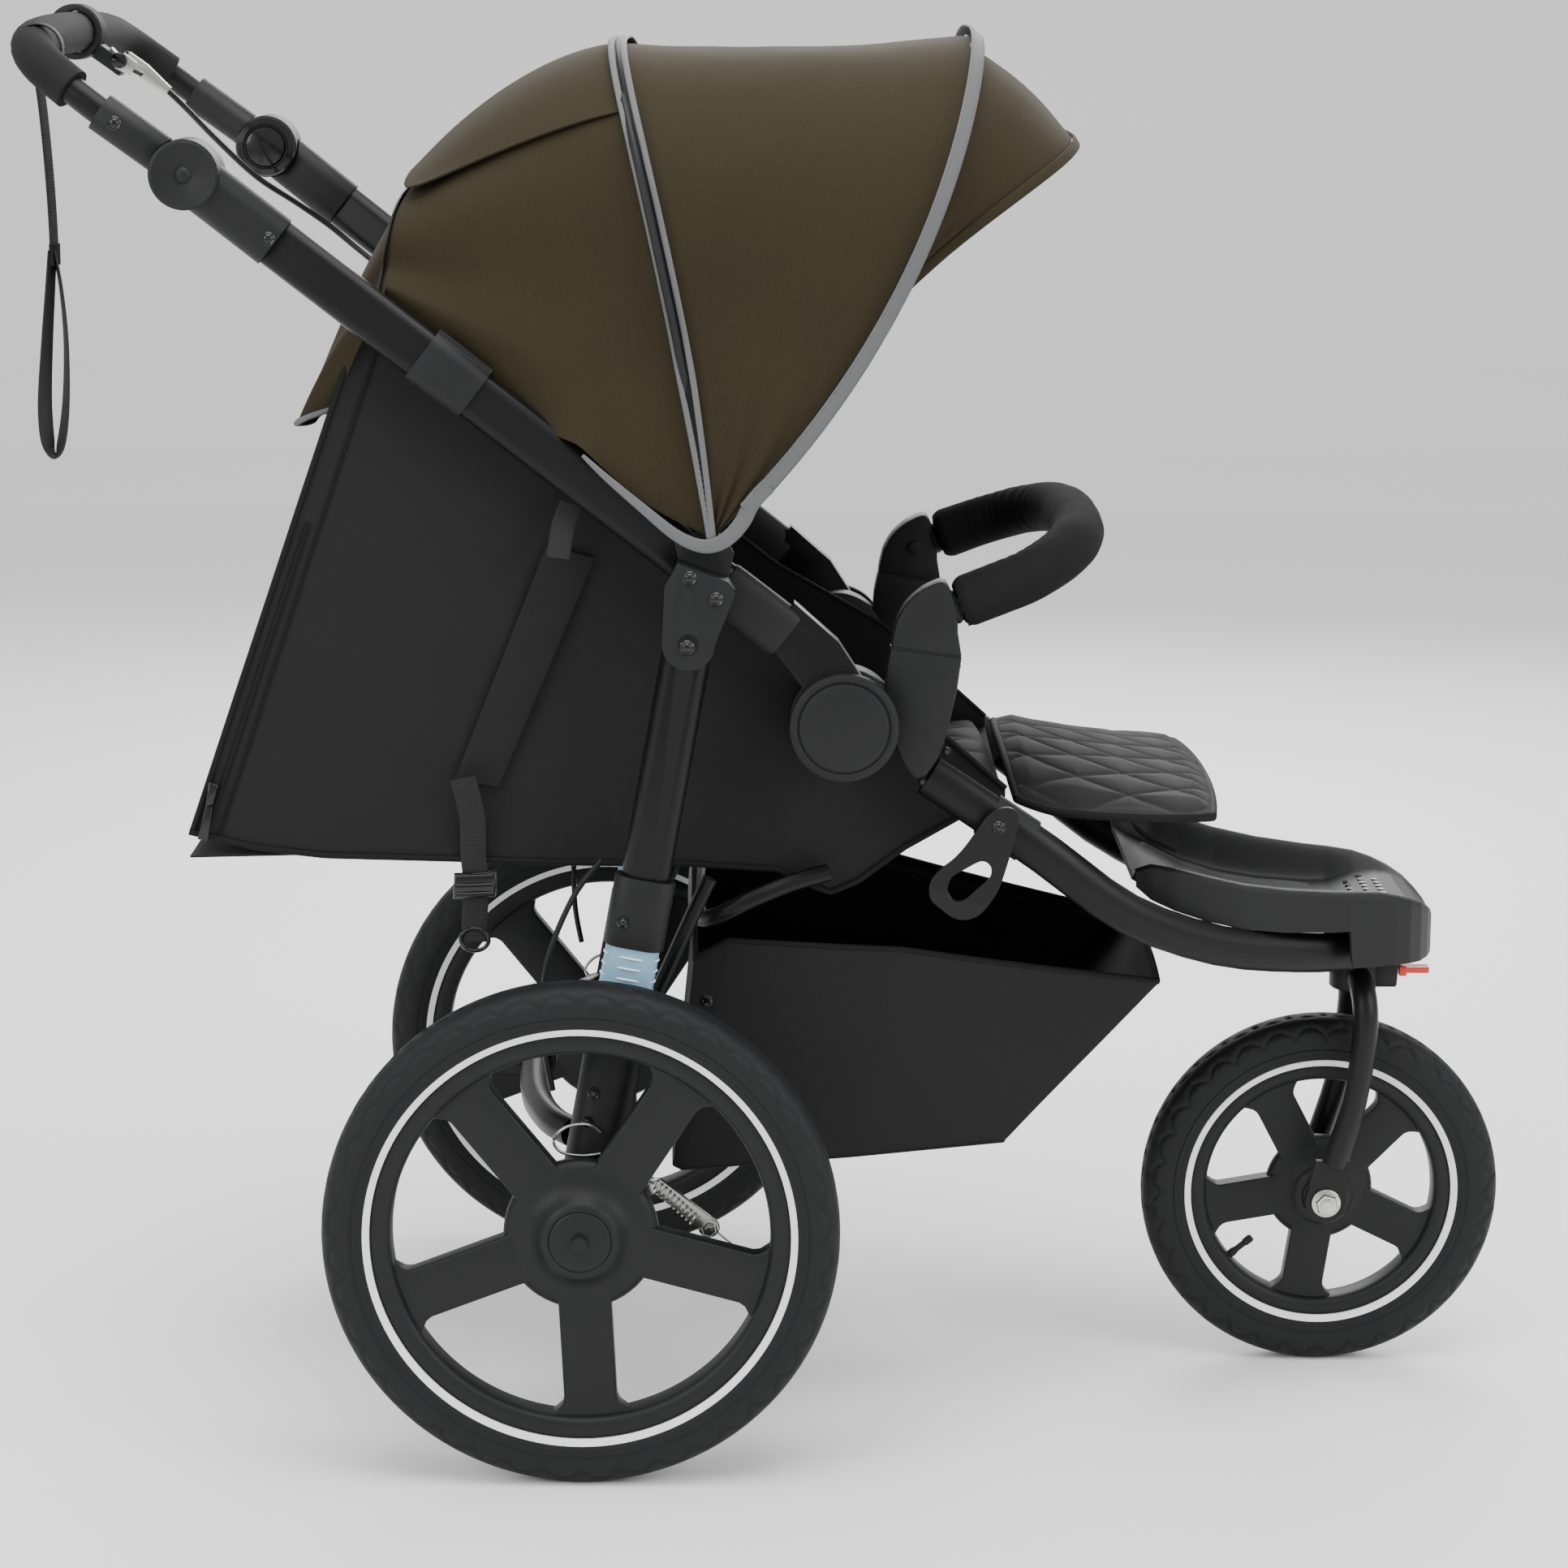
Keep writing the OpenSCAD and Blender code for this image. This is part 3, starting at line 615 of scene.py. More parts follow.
def reach(outline: Sequence[Point], centre: Point, turn: float) -> tuple[float, float]:
    """Find where a ray from a centre leaves an outline.

    Args:
        outline: A closed outline of X and Z.
        centre: Where the ray starts.
        turn: Direction of the ray in radians.

    Returns:
        The farthest crossing.
    """
    dx, dz, far = math.cos(turn), math.sin(turn), 0.0
    for (x0, z0), (x1, z1) in zip(outline, list(outline[1:]) + [outline[0]]):
        ex, ez = x1 - x0, z1 - z0
        cross = dx * ez - dz * ex
        if abs(cross) < 1e-9:
            continue
        along = ((x0 - centre[0]) * ez - (z0 - centre[1]) * ex) / cross
        share = ((x0 - centre[0]) * dz - (z0 - centre[1]) * dx) / cross
        if along > far and -1e-9 <= share <= 1 + 1e-9:
            far = along
    return centre[0] + dx * far, centre[1] + dz * far


SIDES = ((1, "left"), (-1, "right"))


# ---- wheels -----------------------------------------------------------------


@dataclass
class Wheel:
    """A moulded five-spoke wheel with an air tyre.

    Attributes:
        name: Name used for its pieces.
        body: The body it rides on.
        replaced: CAD nodes of the tyre and the rim.
        x: Place of the hub along the stroller.
        y: Place across.
        z: Height of the hub.
        side: Which way the outer face looks.
        radius: Outer radius of the tyre.
        width: Width of the tyre.
        band: Inner radius of the reflective band.
        ring_in: Inner radius of the rim ring.
        spoke: Half the width of a spoke.
        hub: Radius of the hub boss.
        reach: How far the hub stands out.
        cap: Radius of the hub cap.
        turn: Angle of the first spoke in degrees.
        scales: Number of tread scallops.
        valve: Angle of the valve, or None where it is hidden.
    """

    name: str
    body: str
    replaced: tuple[str, str]
    x: float
    y: float
    z: float
    side: int
    radius: float
    width: float
    band: float
    ring_in: float
    spoke: float
    hub: float
    reach: float
    cap: float
    turn: float
    scales: int = 40
    valve: Optional[float] = None

    def build(self) -> None:
        """Build the tyre, band, rim, hub cap and valve."""
        self._tyre()
        self._band()
        self._rim()
        if self.valve is not None:
            self._valve()

    def _centre(self) -> Vector:
        """The middle of the wheel."""
        return at(self.x, self.y, self.z)

    def _tyre(self) -> None:
        """Build the tyre with its scalloped tread."""
        half, r = self.width / 2, self.radius
        outer = [(self.band - 2, 13.5), (self.band + 1, 16.4), (self.band + 6, half - 2.6), (self.band + 11, half - 0.9)]
        outer += [(r - 21, half - 0.1), (r - 18, half), (r - 16.6, half - 0.1)]
        for k in range(1, 17):
            a = math.radians(k * 90 / 16)
            outer.append((r - 15.5 * (1 - math.sin(a) ** 1.0), (half - 0.2) * math.cos(a) ** 0.72))
        profile = outer + [(a, -d) for a, d in reversed(outer[:-1])]
        profile.append(profile[0])
        shape = bmesh.new()
        lathe(shape, self._centre(), profile, steps=440)
        centre = self._centre()
        for vert in shape.verts:
            off = vert.co - centre
            flat = Vector((off.x, 0, off.z))
            radial = flat.length * 1000
            if radial < r - 16.8:
                continue
            depth = self._tread(math.atan2(off.z, off.x), radial, abs(off.y) * 1000 / half)
            vert.co -= (flat.normalized() * 0.75 + Vector((0, math.copysign(0.65, off.y), 0))) * mm(depth)
        tyre = Maker.publish(shape, f"{self.name}_tyre_tread", TYRE, self.body, 50)
        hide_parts(self.replaced[0])

    def _tread(self, angle: float, radial: float, across: float) -> float:
        """Depth of the tread's grooves.

        Args:
            angle: Angle round the hub.
            radial: Distance from the hub in millimetres.
            across: Distance from the middle, 0 to 1.

        Returns:
            Depth in millimetres.
        """
        phase = angle * self.scales / math.tau
        wave = abs(math.sin(math.pi * phase))
        line = self.radius - 15.5 + 9.5 * wave**0.7
        groove = max(0.0, 1.0 - abs(radial - line) / 2.3) if radial < self.radius - 2 else 0.0
        share = phase % 1.0
        sipe = max(0.0, 1.0 - abs(share - 0.5) / 0.07) if self.radius - 10 < radial < self.radius - 2.5 else 0.0
        middle = max(0.0, 1.0 - abs(across - 0.18 - 0.1 * wave) / 0.06)
        return 2.4 * max(groove, sipe * 0.7, middle)

    def _band(self) -> None:
        """Build the reflective bands and the fine bead lines beside them."""
        shape = bmesh.new()
        for way in (1, -1):
            a = self.band
            ring = [(a, 15.2), (a, 17.0), (a + 2.6, 18.3), (a + 5.3, 19.3), (a + 5.6, 18.0), (a, 15.2)]
            lathe(shape, self._centre(), ring, Vector((0, way, 0)), 128)
        Maker.publish(shape, f"{self.name}_reflective_band", WHITE_BAND, self.body)
        beads = bmesh.new()
        for way in (1, -1):
            for step in (9.0, 13.2):
                a = self.band + step
                depth = self.width / 2 - (1.9 if step < 10 else 0.75)
                bead = [(a, depth - 1), (a + 0.3, depth + 0.7), (a + 1.3, depth + 0.9), (a + 1.7, depth - 1), (a, depth - 1)]
                lathe(beads, self._centre(), bead, Vector((0, way, 0)), 128)
        Maker.publish(beads, f"{self.name}_tyre_beads", TYRE, self.body)

    def _half_width(self, s: float) -> float:
        """Half the spoke's width at a distance s from the hub."""
        root = min(1.0, max(0.0, (self.hub + 16 - s) / 22))
        tip = max(0.0, (s - self.ring_in + 15) / 15)
        return self.spoke + 12 * root**2 + 15 * tip**2.2

    def _rim(self) -> None:
        """Build the rim ring, five spokes and the hub."""
        shape = bmesh.new()
        a, b = self.ring_in, self.band - 0.6
        ring = [(a, -9), (a + 1.6, -13), (a + 5, -15), (b - 3, -15.6), (b, -14.6), (b, 14.6), (b - 3, 15.6), (a + 5, 15)]
        ring += [(a + 1.6, 13), (a, 9), (a, -9)]
        lathe(shape, self._centre(), ring, steps=128)
        stations = [12 + k * (self.ring_in + 1.5 - 12) / 26 for k in range(27)]
        for k in range(5):
            turn = math.radians(self.turn + 72 * k)
            ahead = (math.cos(turn), math.sin(turn))
            left = [(s, self._half_width(s)) for s in stations]
            outline = left + [(s, -w) for s, w in reversed(left)]
            points = [
                (self.x + s * ahead[0] - w * ahead[1], self.z + s * ahead[1] + w * ahead[0]) for s, w in outline
            ]
            plate(shape, points, self.y - 8.5, self.y + 8.5, 3.2, 3)
        for way in (1, -1):
            h, top = self.hub, self.reach if way == self.side or self.name == "front" else self.reach * 0.8
            boss = [(h + 20, 0), (h + 20, 2.5), (h + 18, 5.6), (h + 13, 8.2), (h + 7, 9.6), (h + 2, 11.2), (h - 3, 14.4)]
            boss += [(self.cap + 9, top - 6.5), (self.cap + 6.5, top - 3.2), (self.cap + 4, top - 1.3)]
            boss += [(self.cap + 1, top - 0.6), (self.cap, top - 1.4), (self.cap - 0.8, top - 0.6), (self.cap - 3, top)]
            boss += [(self.cap * 0.5, top + 0.3), (self.cap * 0.25, top + 0.35)]
            boss += [(0, top + 0.4)] if self.name != "front" else [(7, top + 0.3), (7, 0), (h + 20, 0)]
            lathe(shape, self._centre(), boss, Vector((0, way, 0)), 64)
        rim = Maker.publish(shape, f"{self.name}_rim_moulding", RIM, self.body, 42)
        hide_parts(self.replaced[1])

    def _valve(self) -> None:
        """Build the valve stem and its cap."""
        turn = math.radians(self.valve or 0.0)
        ahead = Vector((math.cos(turn), 0, math.sin(turn)))
        stem = [(0, 0), (3.2, 0), (3.6, 5), (2.6, 9), (2.6, 17), (3.3, 17.6), (3.5, 24), (2.6, 25.5), (0, 25.8)]
        shape = bmesh.new()
        lathe(shape, self._centre() + ahead * mm(self.ring_in + 1), stem, -ahead, 20)
        Maker.publish(shape, f"{self.name}_valve_stem", CABLE, self.body)


# ---- canopy -----------------------------------------------------------------


@dataclass
class Arch:
    """One arch of the canopy.

    Attributes:
        foot: X and Z of its foot.
        top: X and Z of its top.
        width: Half the width at its shoulder.
        foot_width: Half the width at its foot.
        shoulder: Share of the height where the curve starts.
        bulge: How far it bows forward.
    """

    foot: tuple[float, float]
    top: tuple[float, float]
    width: float
    foot_width: float
    shoulder: float
    bulge: float

    def point(self, s: float) -> Vector:
        """A point of the arch, in millimetres; s runs from -1 at the right foot to 1 at the left one."""
        share = abs(s)
        dx, dz = self.top[0] - self.foot[0], self.top[1] - self.foot[1]
        size = math.hypot(dx, dz)
        fx, fz = -dz / size, dx / size
        if share < 0.72:
            a = share / 0.72 * math.pi / 2
            h = self.shoulder + (1 - self.shoulder) * max(math.cos(a), 0.0) ** 0.62
            y = self.width * math.sin(a) ** 0.62
        else:
            h = self.shoulder * (1 - share) / 0.28
            y = self.foot_width + (self.width - self.foot_width) * h / self.shoulder
        push = self.bulge * 4 * h * (1 - h)
        return Vector(
            (self.foot[0] + dx * h - fx * push, math.copysign(y, s) if s else 0.0, self.foot[1] + dz * h - fz * push)
        )


@dataclass
class Canopy:
    """The hood: rear, front and visor panels, their piping, tapes and zip."""

    rear: Arch
    middle: Arch
    front: Arch
    brow: Arch
    visor: Arch
    centre: tuple[float, float, float] = (40.0, 0.0, 800.0)
    across: int = 88

    def _out(self, p: Vector, by: float) -> Vector:
        """Move a point away from the middle of the hood."""
        way = Vector((p.x - self.centre[0], p.y, p.z - self.centre[2]))
        return p + way.normalized() * by

    def panel(
        self, name: str, back: Arch, ahead: Arch, lift: float, side_sag: float, along: int, finish: Finish, inside: float
    ) -> bpy.types.Object:
        """Build one curved panel between two arches.

        Args:
            name: Name of the piece.
            back: Rear arch.
            ahead: Front arch.
            lift: How far the panel bulges at the top, halfway.
            side_sag: How far it draws in at the sides, halfway.
            along: Faces from back to front.
            finish: Its finish.
            inside: How far inside the arches it lies.

        Returns:
            The panel.
        """

        def place(u: float, v: float) -> Vector:
            """The point for shares across and along."""
            s = u * 2 - 1
            p = back.point(s).lerp(ahead.point(s), v)
            hump = 4 * v * (1 - v)
            up = max(0.0, 1 - abs(s) * 1.5)
            low = math.sin(math.pi * min(1.0, abs(s))) ** 1.5
            by = hump * (lift * up - side_sag * low) - inside
            q = at(*p)
            by += (2.6 * noise.noise(q * 8) + 0.9 * noise.noise(q * 24)) * hump
            near = max(0.0, abs(s) - 0.55) / 0.45
            if lift > 10:
                p = self._tuck(p, s, v)
            by += 2.0 * near * hump * math.sin(v * 19 + 3 * noise.noise(q * 6))
            return at(*self._out(p, by))

        shape = bmesh.new()
        surface(shape, self.across, along, place)
        return Maker.publish(shape, name, finish, None, 60, wall=1.6)

    @staticmethod
    def _tuck(p: Vector, s: float, v: float) -> Vector:
        """Let the rear panel's hem fall behind the rails and then over them.

        Args:
            p: The point in millimetres.
            s: Place across, from -1 to 1.
            v: Share from the rear arch to the middle arch.

        Returns:
            The moved point.
        """
        low = max(0.0, abs(s) - 0.86) / 0.14
        if v < 0.6:
            fall, pull = 15 * math.sin(math.pi * v / 0.6) + 5 * (1 - v / 0.6), 22 * min(1.0, (0.6 - v) / 0.2)
        else:
            fall, pull = 9 * math.sin(math.pi * (v - 0.6) / 0.4), -5 * math.sin(math.pi * (v - 0.6) / 0.4)
        return Vector((p.x, p.y - math.copysign(low * pull, s), p.z - low * fall))

    def edge(
        self, name: str, arch: Arch, body: str, radius: float, shift: float, finish: Finish, out: float = 0.6,
        flat: float = 0.0, keep: float = 1.0,
    ) -> bpy.types.Object:
        """Build piping or tape along an arch.

        Args:
            name: Name of the piece.
            arch: The arch.
            body: The body it rides on.
            radius: Radius of the piping, or half the tape's thickness.
            shift: How far it is moved forward.
            finish: Its finish.
            out: How far it stands out.
            flat: Half the width of a tape, or 0 for piping.
            keep: Share of the arch that it follows.

        Returns:
            The piece.
        """
        path = []
        for k in range(97):
            p = self._out(arch.point((k / 48 - 1) * keep), out)
            fade = min(1.0, (1 - abs(k / 48 - 1)) * 5)
            path.append(at(p.x + shift * (0.25 + 0.75 * fade), p.y, p.z))
        middle = at(*self.centre)
        shape = bmesh.new()
        sweep(
            shape, path, mm(flat or radius), mm(radius), lambda i: (path[i] - middle).normalized(),
            12, 0.6 if flat else 1.0,
        )
        return Maker.publish(shape, name, finish, body, 60)

    def build(self) -> None:
        """Build the hood."""
        arms, mid, bow, wire = "push_arms", "mid_bow", "front_bow", "visor"
        back = self.panel("canopy_rear_panel", self.rear, self.middle, 20, 1, 44, CANOPY, 0.5)
        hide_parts("canopy_rear")
        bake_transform(back)
        ahead = self.panel("canopy_front_panel", self.middle, self.front, -7, 5, 48, CANOPY, 0.5)
        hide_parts("canopy_front")
        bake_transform(ahead)
        visor = self.panel("canopy_visor_panel", self.brow, self.visor, 5, 2, 24, CANOPY, 1.0)
        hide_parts("canopy_visor")
        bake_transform(visor)
        for side, word in ((-4.9, "rear"), (4.9, "front")):
            self.edge(f"canopy_zip_piping_{word}", self.middle, mid, 1.3, side + 1.0, PIPING, 4.0, 2.5)
        self.edge("canopy_zip_tape", self.middle, mid, 0.9, 1.0, ZIP, 3.6, 4.6)
        self._zip_teeth()
        self.edge("canopy_front_tape", self.front, bow, 1.4, 0.0, PIPING, 5.4, 6.4, 0.955)
        self.edge("canopy_visor_hem", self.visor, wire, 1.5, 0.0, CANOPY, 0.6, 4.2)
        for off, word in ((5.2, "outer"), (-5.2, "inner")):
            self._stitches(off, word)
        self._rail_tape()
        self._flap()
        self._rear_skirt()

    def _zip_teeth(self) -> None:
        """Build the coil of the hood's zip."""
        shape = bmesh.new()
        path = [at(*self._out(self.middle.point(k / 260 - 1), 4.6)) + Vector((mm(1.0), 0, 0)) for k in range(521)]
        middle = at(*self.centre)
        sweep(
            shape, path, mm(1.7), mm(0.8), lambda i: (path[i] - middle).normalized(), 8,
            scale=lambda t: 1.0 if int(t * 520) % 2 else 0.72,
        )
        Maker.publish(shape, "canopy_zip_coil", ZIP, "mid_bow", 60)

    def _stitches(self, off: float, word: str) -> None:
        """Sew one row of stitches on the front tape.

        Args:
            off: Distance of the row from the tape's middle.
            word: Word that names the row.
        """
        shape = bmesh.new()
        middle = at(*self.centre)
        for k in range(12, 368, 2):
            a = at(*self._out(self.front.point(k / 190 - 1), 6.6))
            b = at(*self._out(self.front.point((k + 1.1) / 190 - 1), 6.6))
            across = (b - a).cross(a - middle).normalized() * mm(off)
            sweep(shape, [a + across, (a + b) / 2 + across * 1.02, b + across], mm(0.4), mm(0.3), sides=5)
        Maker.publish(shape, f"canopy_tape_stitches_{word}", PIPING, "front_bow", 60)

    def _rail_tape(self) -> None:
        """Build the grey tape that runs round the pivot tip and up the rail."""
        for side, word in SIDES:
            joins = [self._out(self.front.point(side * s), 5.4) for s in (0.92, 0.945)]
            run = [(p.x, abs(p.y) + 0.4, p.z) for p in joins]
            run += [(123, 257, 750), (114, 257.8, 739), (103, 258, 732), (90, 257.5, 731), (72, 256, 739)]
            run += [(48, 253, 758), (20, 248, 781), (2, 243, 797)]
            path = smooth_path(mirrored(run, side), 6)
            shape = bmesh.new()
            sweep(shape, path, mm(6.2), mm(1.3), lambda i: Vector((0, side, 0)), 12, 0.6, lambda t: 1.0 - 0.78 * t**2.6)
            Maker.publish(shape, f"canopy_tip_tape_{word}", PIPING, "push_arms", 60)

    def _flap(self) -> None:
        """Build the roll-up window flap on the rear panel."""

        def place(u: float, v: float) -> Vector:
            """The point for shares across and along."""
            side = abs(u * 2 - 1)
            s = (u * 2 - 1) * 0.4
            start = 0.03 + 0.1 * side**8
            w = start + (0.985 - start) * v
            p = self.rear.point(s).lerp(self.middle.point(s), w)
            q = at(*p)
            lift = 20 * 4 * w * (1 - w) * max(0.0, 1 - abs(s) * 1.5) + 2.6 * noise.noise(q * 8) * 4 * w * (1 - w)
            return at(*self._out(p, lift + 3.2 * (1 - v**6) + 5.5 * (1 - v) ** 6 + 1.4 * side**12))

        shape = bmesh.new()
        surface(shape, 40, 26, place)
        flap = Maker.publish(shape, "canopy_window_flap", CANOPY, None, 60, wall=1.6)
        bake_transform(flap)

    def _rear_skirt(self) -> None:
        """Build the skirt that hangs behind the rails, its zip and its grey edge."""

        def place(u: float, v: float) -> Vector:
            """The point for shares across and down."""
            s = u * 2 - 1
            share = abs(s)
            top = self.rear.point(s)
            wrap = max(0.0, share - 0.84) / 0.16
            y = math.copysign(207 * min(1.0, share / 0.84) ** 0.85, s)
            low = Vector((-215 + 30 * wrap**1.4, y, 806 + 14 * share**2 + 8 * wrap))
            p = top.lerp(low, v)
            p.x -= 10 * math.sin(math.pi * v) * (1 - 0.7 * share**4)
            p.x += 1.8 * math.sin(9 * s) * v
            return at(*p)

        shape = bmesh.new()
        surface(shape, 60, 20, place)
        Maker.publish(shape, "canopy_rear_skirt", CANOPY, "push_arms", 60, wall=1.6)
        path = [place(k / 60, 1.0) for k in range(61)]
        hem = bmesh.new()
        sweep(hem, path, mm(2.4), mm(2.4), sides=10)
        Maker.publish(hem, "canopy_skirt_piping", PIPING, "push_arms", 60)
        seam = bmesh.new()
        path = [place(k / 60, 0.04) + Vector((-mm(1.4), 0, mm(0.4))) for k in range(61)]
        sweep(seam, path, mm(5.0), mm(1.1), lambda i: Vector((-1, 0, 0.3)), 10, 0.6)
        Maker.publish(seam, "canopy_rear_zip_tape", ZIP, "push_arms", 60)


# ---- seat -------------------------------------------------------------------


@dataclass
class SeatTub:
    """The hanging fabric tub: side panels, back, floor, piping, zips and straps."""

    bottom: tuple[tuple[float, float], ...] = (
        (-303, 503), (-250, 489), (-200, 482), (-100, 477), (-12, 472), (80, 469), (150, 463), (178, 449), (192, 443),
        (214, 452), (250, 478), (299, 505), (330, 514),
    )
    top: tuple[tuple[float, float], ...] = ((-168, 896), (-100, 845), (-40, 798), (60, 720), (150, 652), (241, 602), (330, 524))

    def _along(self, line: Sequence[tuple[float, float]], t: float) -> tuple[float, float]:
        """A point at a share of a broken line, by its X."""
        x = line[0][0] + (line[-1][0] - line[0][0]) * t
        for (x0, z0), (x1, z1) in zip(line, line[1:]):
            if x <= x1 + 1e-6:
                return x, z0 + (z1 - z0) * (x - x0) / (x1 - x0)
        return line[-1]

    def _wall_y(self, x: float) -> float:
        """Distance of the wall from the middle."""
        return 228.6 - 0.1206 * (x + 300)

    def wall_point(self, u: float, v: float, side: int, out: float = 0.0) -> Vector:
        """A point of a side wall.

        Args:
            u: Share from rear to front.
            v: Share from the hem to the top.
            side: 1 for left, -1 for right.
            out: How far it is moved outwards.

        Returns:
            The point in the shared frame.
        """
        a, b = self._along(self.bottom, u), self._along(self.top, u)
        x, z = a[0] + (b[0] - a[0]) * v, a[1] + (b[1] - a[1]) * v
        q = Vector((x, 0, z)) / 1000
        hump = math.sin(math.pi * min(1, v)) * math.sin(math.pi * min(1, u)) ** 0.5
        fold = 6.5 * noise.noise(Vector((q.x * 8 + q.z * 4, 0, q.z * 3))) + 1.8 * noise.noise(q * 19)
        pull = 3.6 * math.sin((x - 1.4 * z) / 34) * max(0.0, u - 0.45) * 1.6
        return at(x, side * (self._wall_y(x) + out + hump * (fold + pull) - 1.5 * hump), z)

    def build(self) -> None:
        """Build the tub."""
        for side, word in SIDES:
            shape = bmesh.new()
            surface(shape, 96, 48, lambda u, v: self.wall_point(u, v, side))
            wall = Maker.publish(shape, f"seat_side_{word}", SEAT, "push_arms", 60, wall=1.8)
            if side == 1:
                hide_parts("seat_tub")
            self._trim(side, word)
        self._back()
        self._floor()

    def _trim(self, side: int, word: str) -> None:
        """Build the piping, zip, sleeve and recline strap of one side."""
        hem = bmesh.new()
        sweep(hem, [self.wall_point(k / 120, 0, side, 0.6) for k in range(121)], mm(2.6), mm(2.6), sides=10)
        Maker.publish(hem, f"seat_hem_piping_{word}", BINDING, "push_arms", 60)
        rear = bmesh.new()
        sweep(rear, [self.wall_point(0.004, k / 60, side, 0.4) for k in range(61)], mm(2.2), mm(2.2), sides=10)
        sweep(rear, [self.wall_point(0.035, k / 60, side, 0.9) for k in range(61)], mm(0.9), mm(0.9), sides=8)
        Maker.publish(rear, f"seat_rear_piping_{word}", BINDING, "push_arms", 60)
        teeth = bmesh.new()
        path = [self.wall_point(0.02, 0.02 + k / 260 * 0.6, side, 1.4) for k in range(261)]
        out = Vector((0, side, 0))
        sweep(teeth, path, mm(2.0), mm(1.0), lambda i: out, 8, scale=lambda t: 1.0 if int(t * 260) % 2 else 0.75)
        Maker.publish(teeth, f"seat_zip_coil_{word}", ZIP, "push_arms", 60)
        pull = bmesh.new()
        plate(pull, [(-289, 524), (-283, 526), (-279, 541), (-286, 543)], side * 232, side * 235.5, 0.8)
        plate(pull, [(-296, 498), (-288, 497), (-284, 523), (-289, 524)], side * 233, side * 234.6, 0.5)
        Maker.publish(pull, f"seat_zip_pull_{word}", GLOSS, "push_arms", 50)
        self._sleeve(side, word)
        self._top_binding(side, word)

    def _top_binding(self, side: int, word: str) -> None:
        """Bind the upper edge of a wall and sew a seam below it."""
        shape = bmesh.new()
        sweep(shape, [self.wall_point(0.3 + 0.7 * k / 90, 1.0, side) for k in range(91)], mm(2.4), mm(2.4), sides=10)
        Maker.publish(shape, f"seat_top_binding_{word}", BINDING, "push_arms", 60)

    def _sleeve(self, side: int, word: str) -> None:
        """Build the sewn strap sleeve, its webbing, ladder buckle and ring."""
        lines = ((-28, 722), (9, 712), (-66, 534), (-100, 540))
        y = [side * (self._wall_y(p[0]) + 3.4) for p in lines]
        shape = bmesh.new()

        def place(u: float, v: float) -> Vector:
            """The point for shares across and down."""
            a = Vector((lines[0][0], y[0], lines[0][1])).lerp(Vector((lines[1][0], y[1], lines[1][1])), u)
            b = Vector((lines[3][0], y[3], lines[3][1])).lerp(Vector((lines[2][0], y[2], lines[2][1])), u)
            p = a.lerp(b, v)
            lift = 1.6 * math.sin(math.pi * u) ** 0.5 + 0.7 * math.sin(23 * v) * math.sin(math.pi * u)
            return at(p.x, p.y + side * (lift - 0.6), p.z)

        surface(shape, 12, 60, place)
        sleeve = Maker.publish(shape, f"recline_sleeve_{word}", SEAT, "push_arms", 60, wall=1.5)
        if side == 1:
            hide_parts("recline_straps")
        web = bmesh.new()
        run = smooth_path(mirrored([(-92, 226, 545), (-86, 215, 512), (-86, 208, 480), (-84, 206, 455), (-86, 204, 428), (-86, 203, 410)], side), 5)
        sweep(web, run, mm(10), mm(0.9), lambda i: Vector((0, side, 0)), 12, 0.5)
        loop = smooth_path(mirrored([(-18, 224, 716), (-14, 219, 740), (-8, 214, 756)], side), 5)
        sweep(web, loop, mm(9), mm(0.9), lambda i: Vector((0, side, 0)), 12, 0.5)
        Maker.publish(web, f"recline_webbing_{word}", WEBBING, "push_arms", 60)
        frame = bmesh.new()
        plate(frame, [(-102, 446), (-69, 448), (-68, 468), (-101, 466)], side * 205, side * 211, 1.6)
        for z in (450, 457, 464):
            sweep(frame, [at(-99, side * 211, z), at(-85, side * 212, z + 0.6), at(-71, side * 211, z + 1)], mm(1.6), mm(1.6), sides=8)
        Maker.publish(frame, f"recline_buckle_{word}", GLOSS, "push_arms", 50)
        ring = bmesh.new()
        turn = [at(-86 + 11 * math.cos(a), side * 204, 412 + 9 * math.sin(a)) for a in [k * math.tau / 32 for k in range(33)]]
        sweep(ring, turn, mm(1.7), mm(1.7), lambda i: Vector((0, 1, 0)), 8, closed=True)
        Maker.publish(ring, f"recline_ring_{word}", GLOSS, "push_arms", 50)

    def _back(self) -> None:
        """Build the back wall behind the child."""

        def place(u: float, v: float) -> Vector:
            """The point for shares across and up."""
            s = u * 2 - 1
            x, z = -300 + 134 * v, 505 + 388 * v
            width = self._wall_y(x) - 3
            bow = 5 * (1 - s * s) * math.sin(math.pi * v)
            q = Vector((s * 0.2, 0, z / 1000))
            return at(x - bow + 2.2 * noise.noise(q * 14), width * s, z)

        shape = bmesh.new()
        surface(shape, 60, 60, place)
        Maker.publish(shape, "seat_back_wall", SEAT, "push_arms", 60, wall=1.8)

    def _floor(self) -> None:
        """Build the floor of the tub under the backrest and the seat."""

        def place(u: float, v: float) -> Vector:
            """The point for shares across and forward."""
            s = u * 2 - 1
            x, z = self._along(self.bottom, v)
            lift = min(z, 482.0 if v < 0.66 else z)
            return at(x, (self._wall_y(x) - 1.5) * s, lift + 1.5 - 3 * (1 - s * s) * (0 if v < 0.7 else 1))

        shape = bmesh.new()
        surface(shape, 40, 72, place)
        Maker.publish(shape, "seat_floor_cloth", SEAT, "push_arms", 60, wall=1.5)


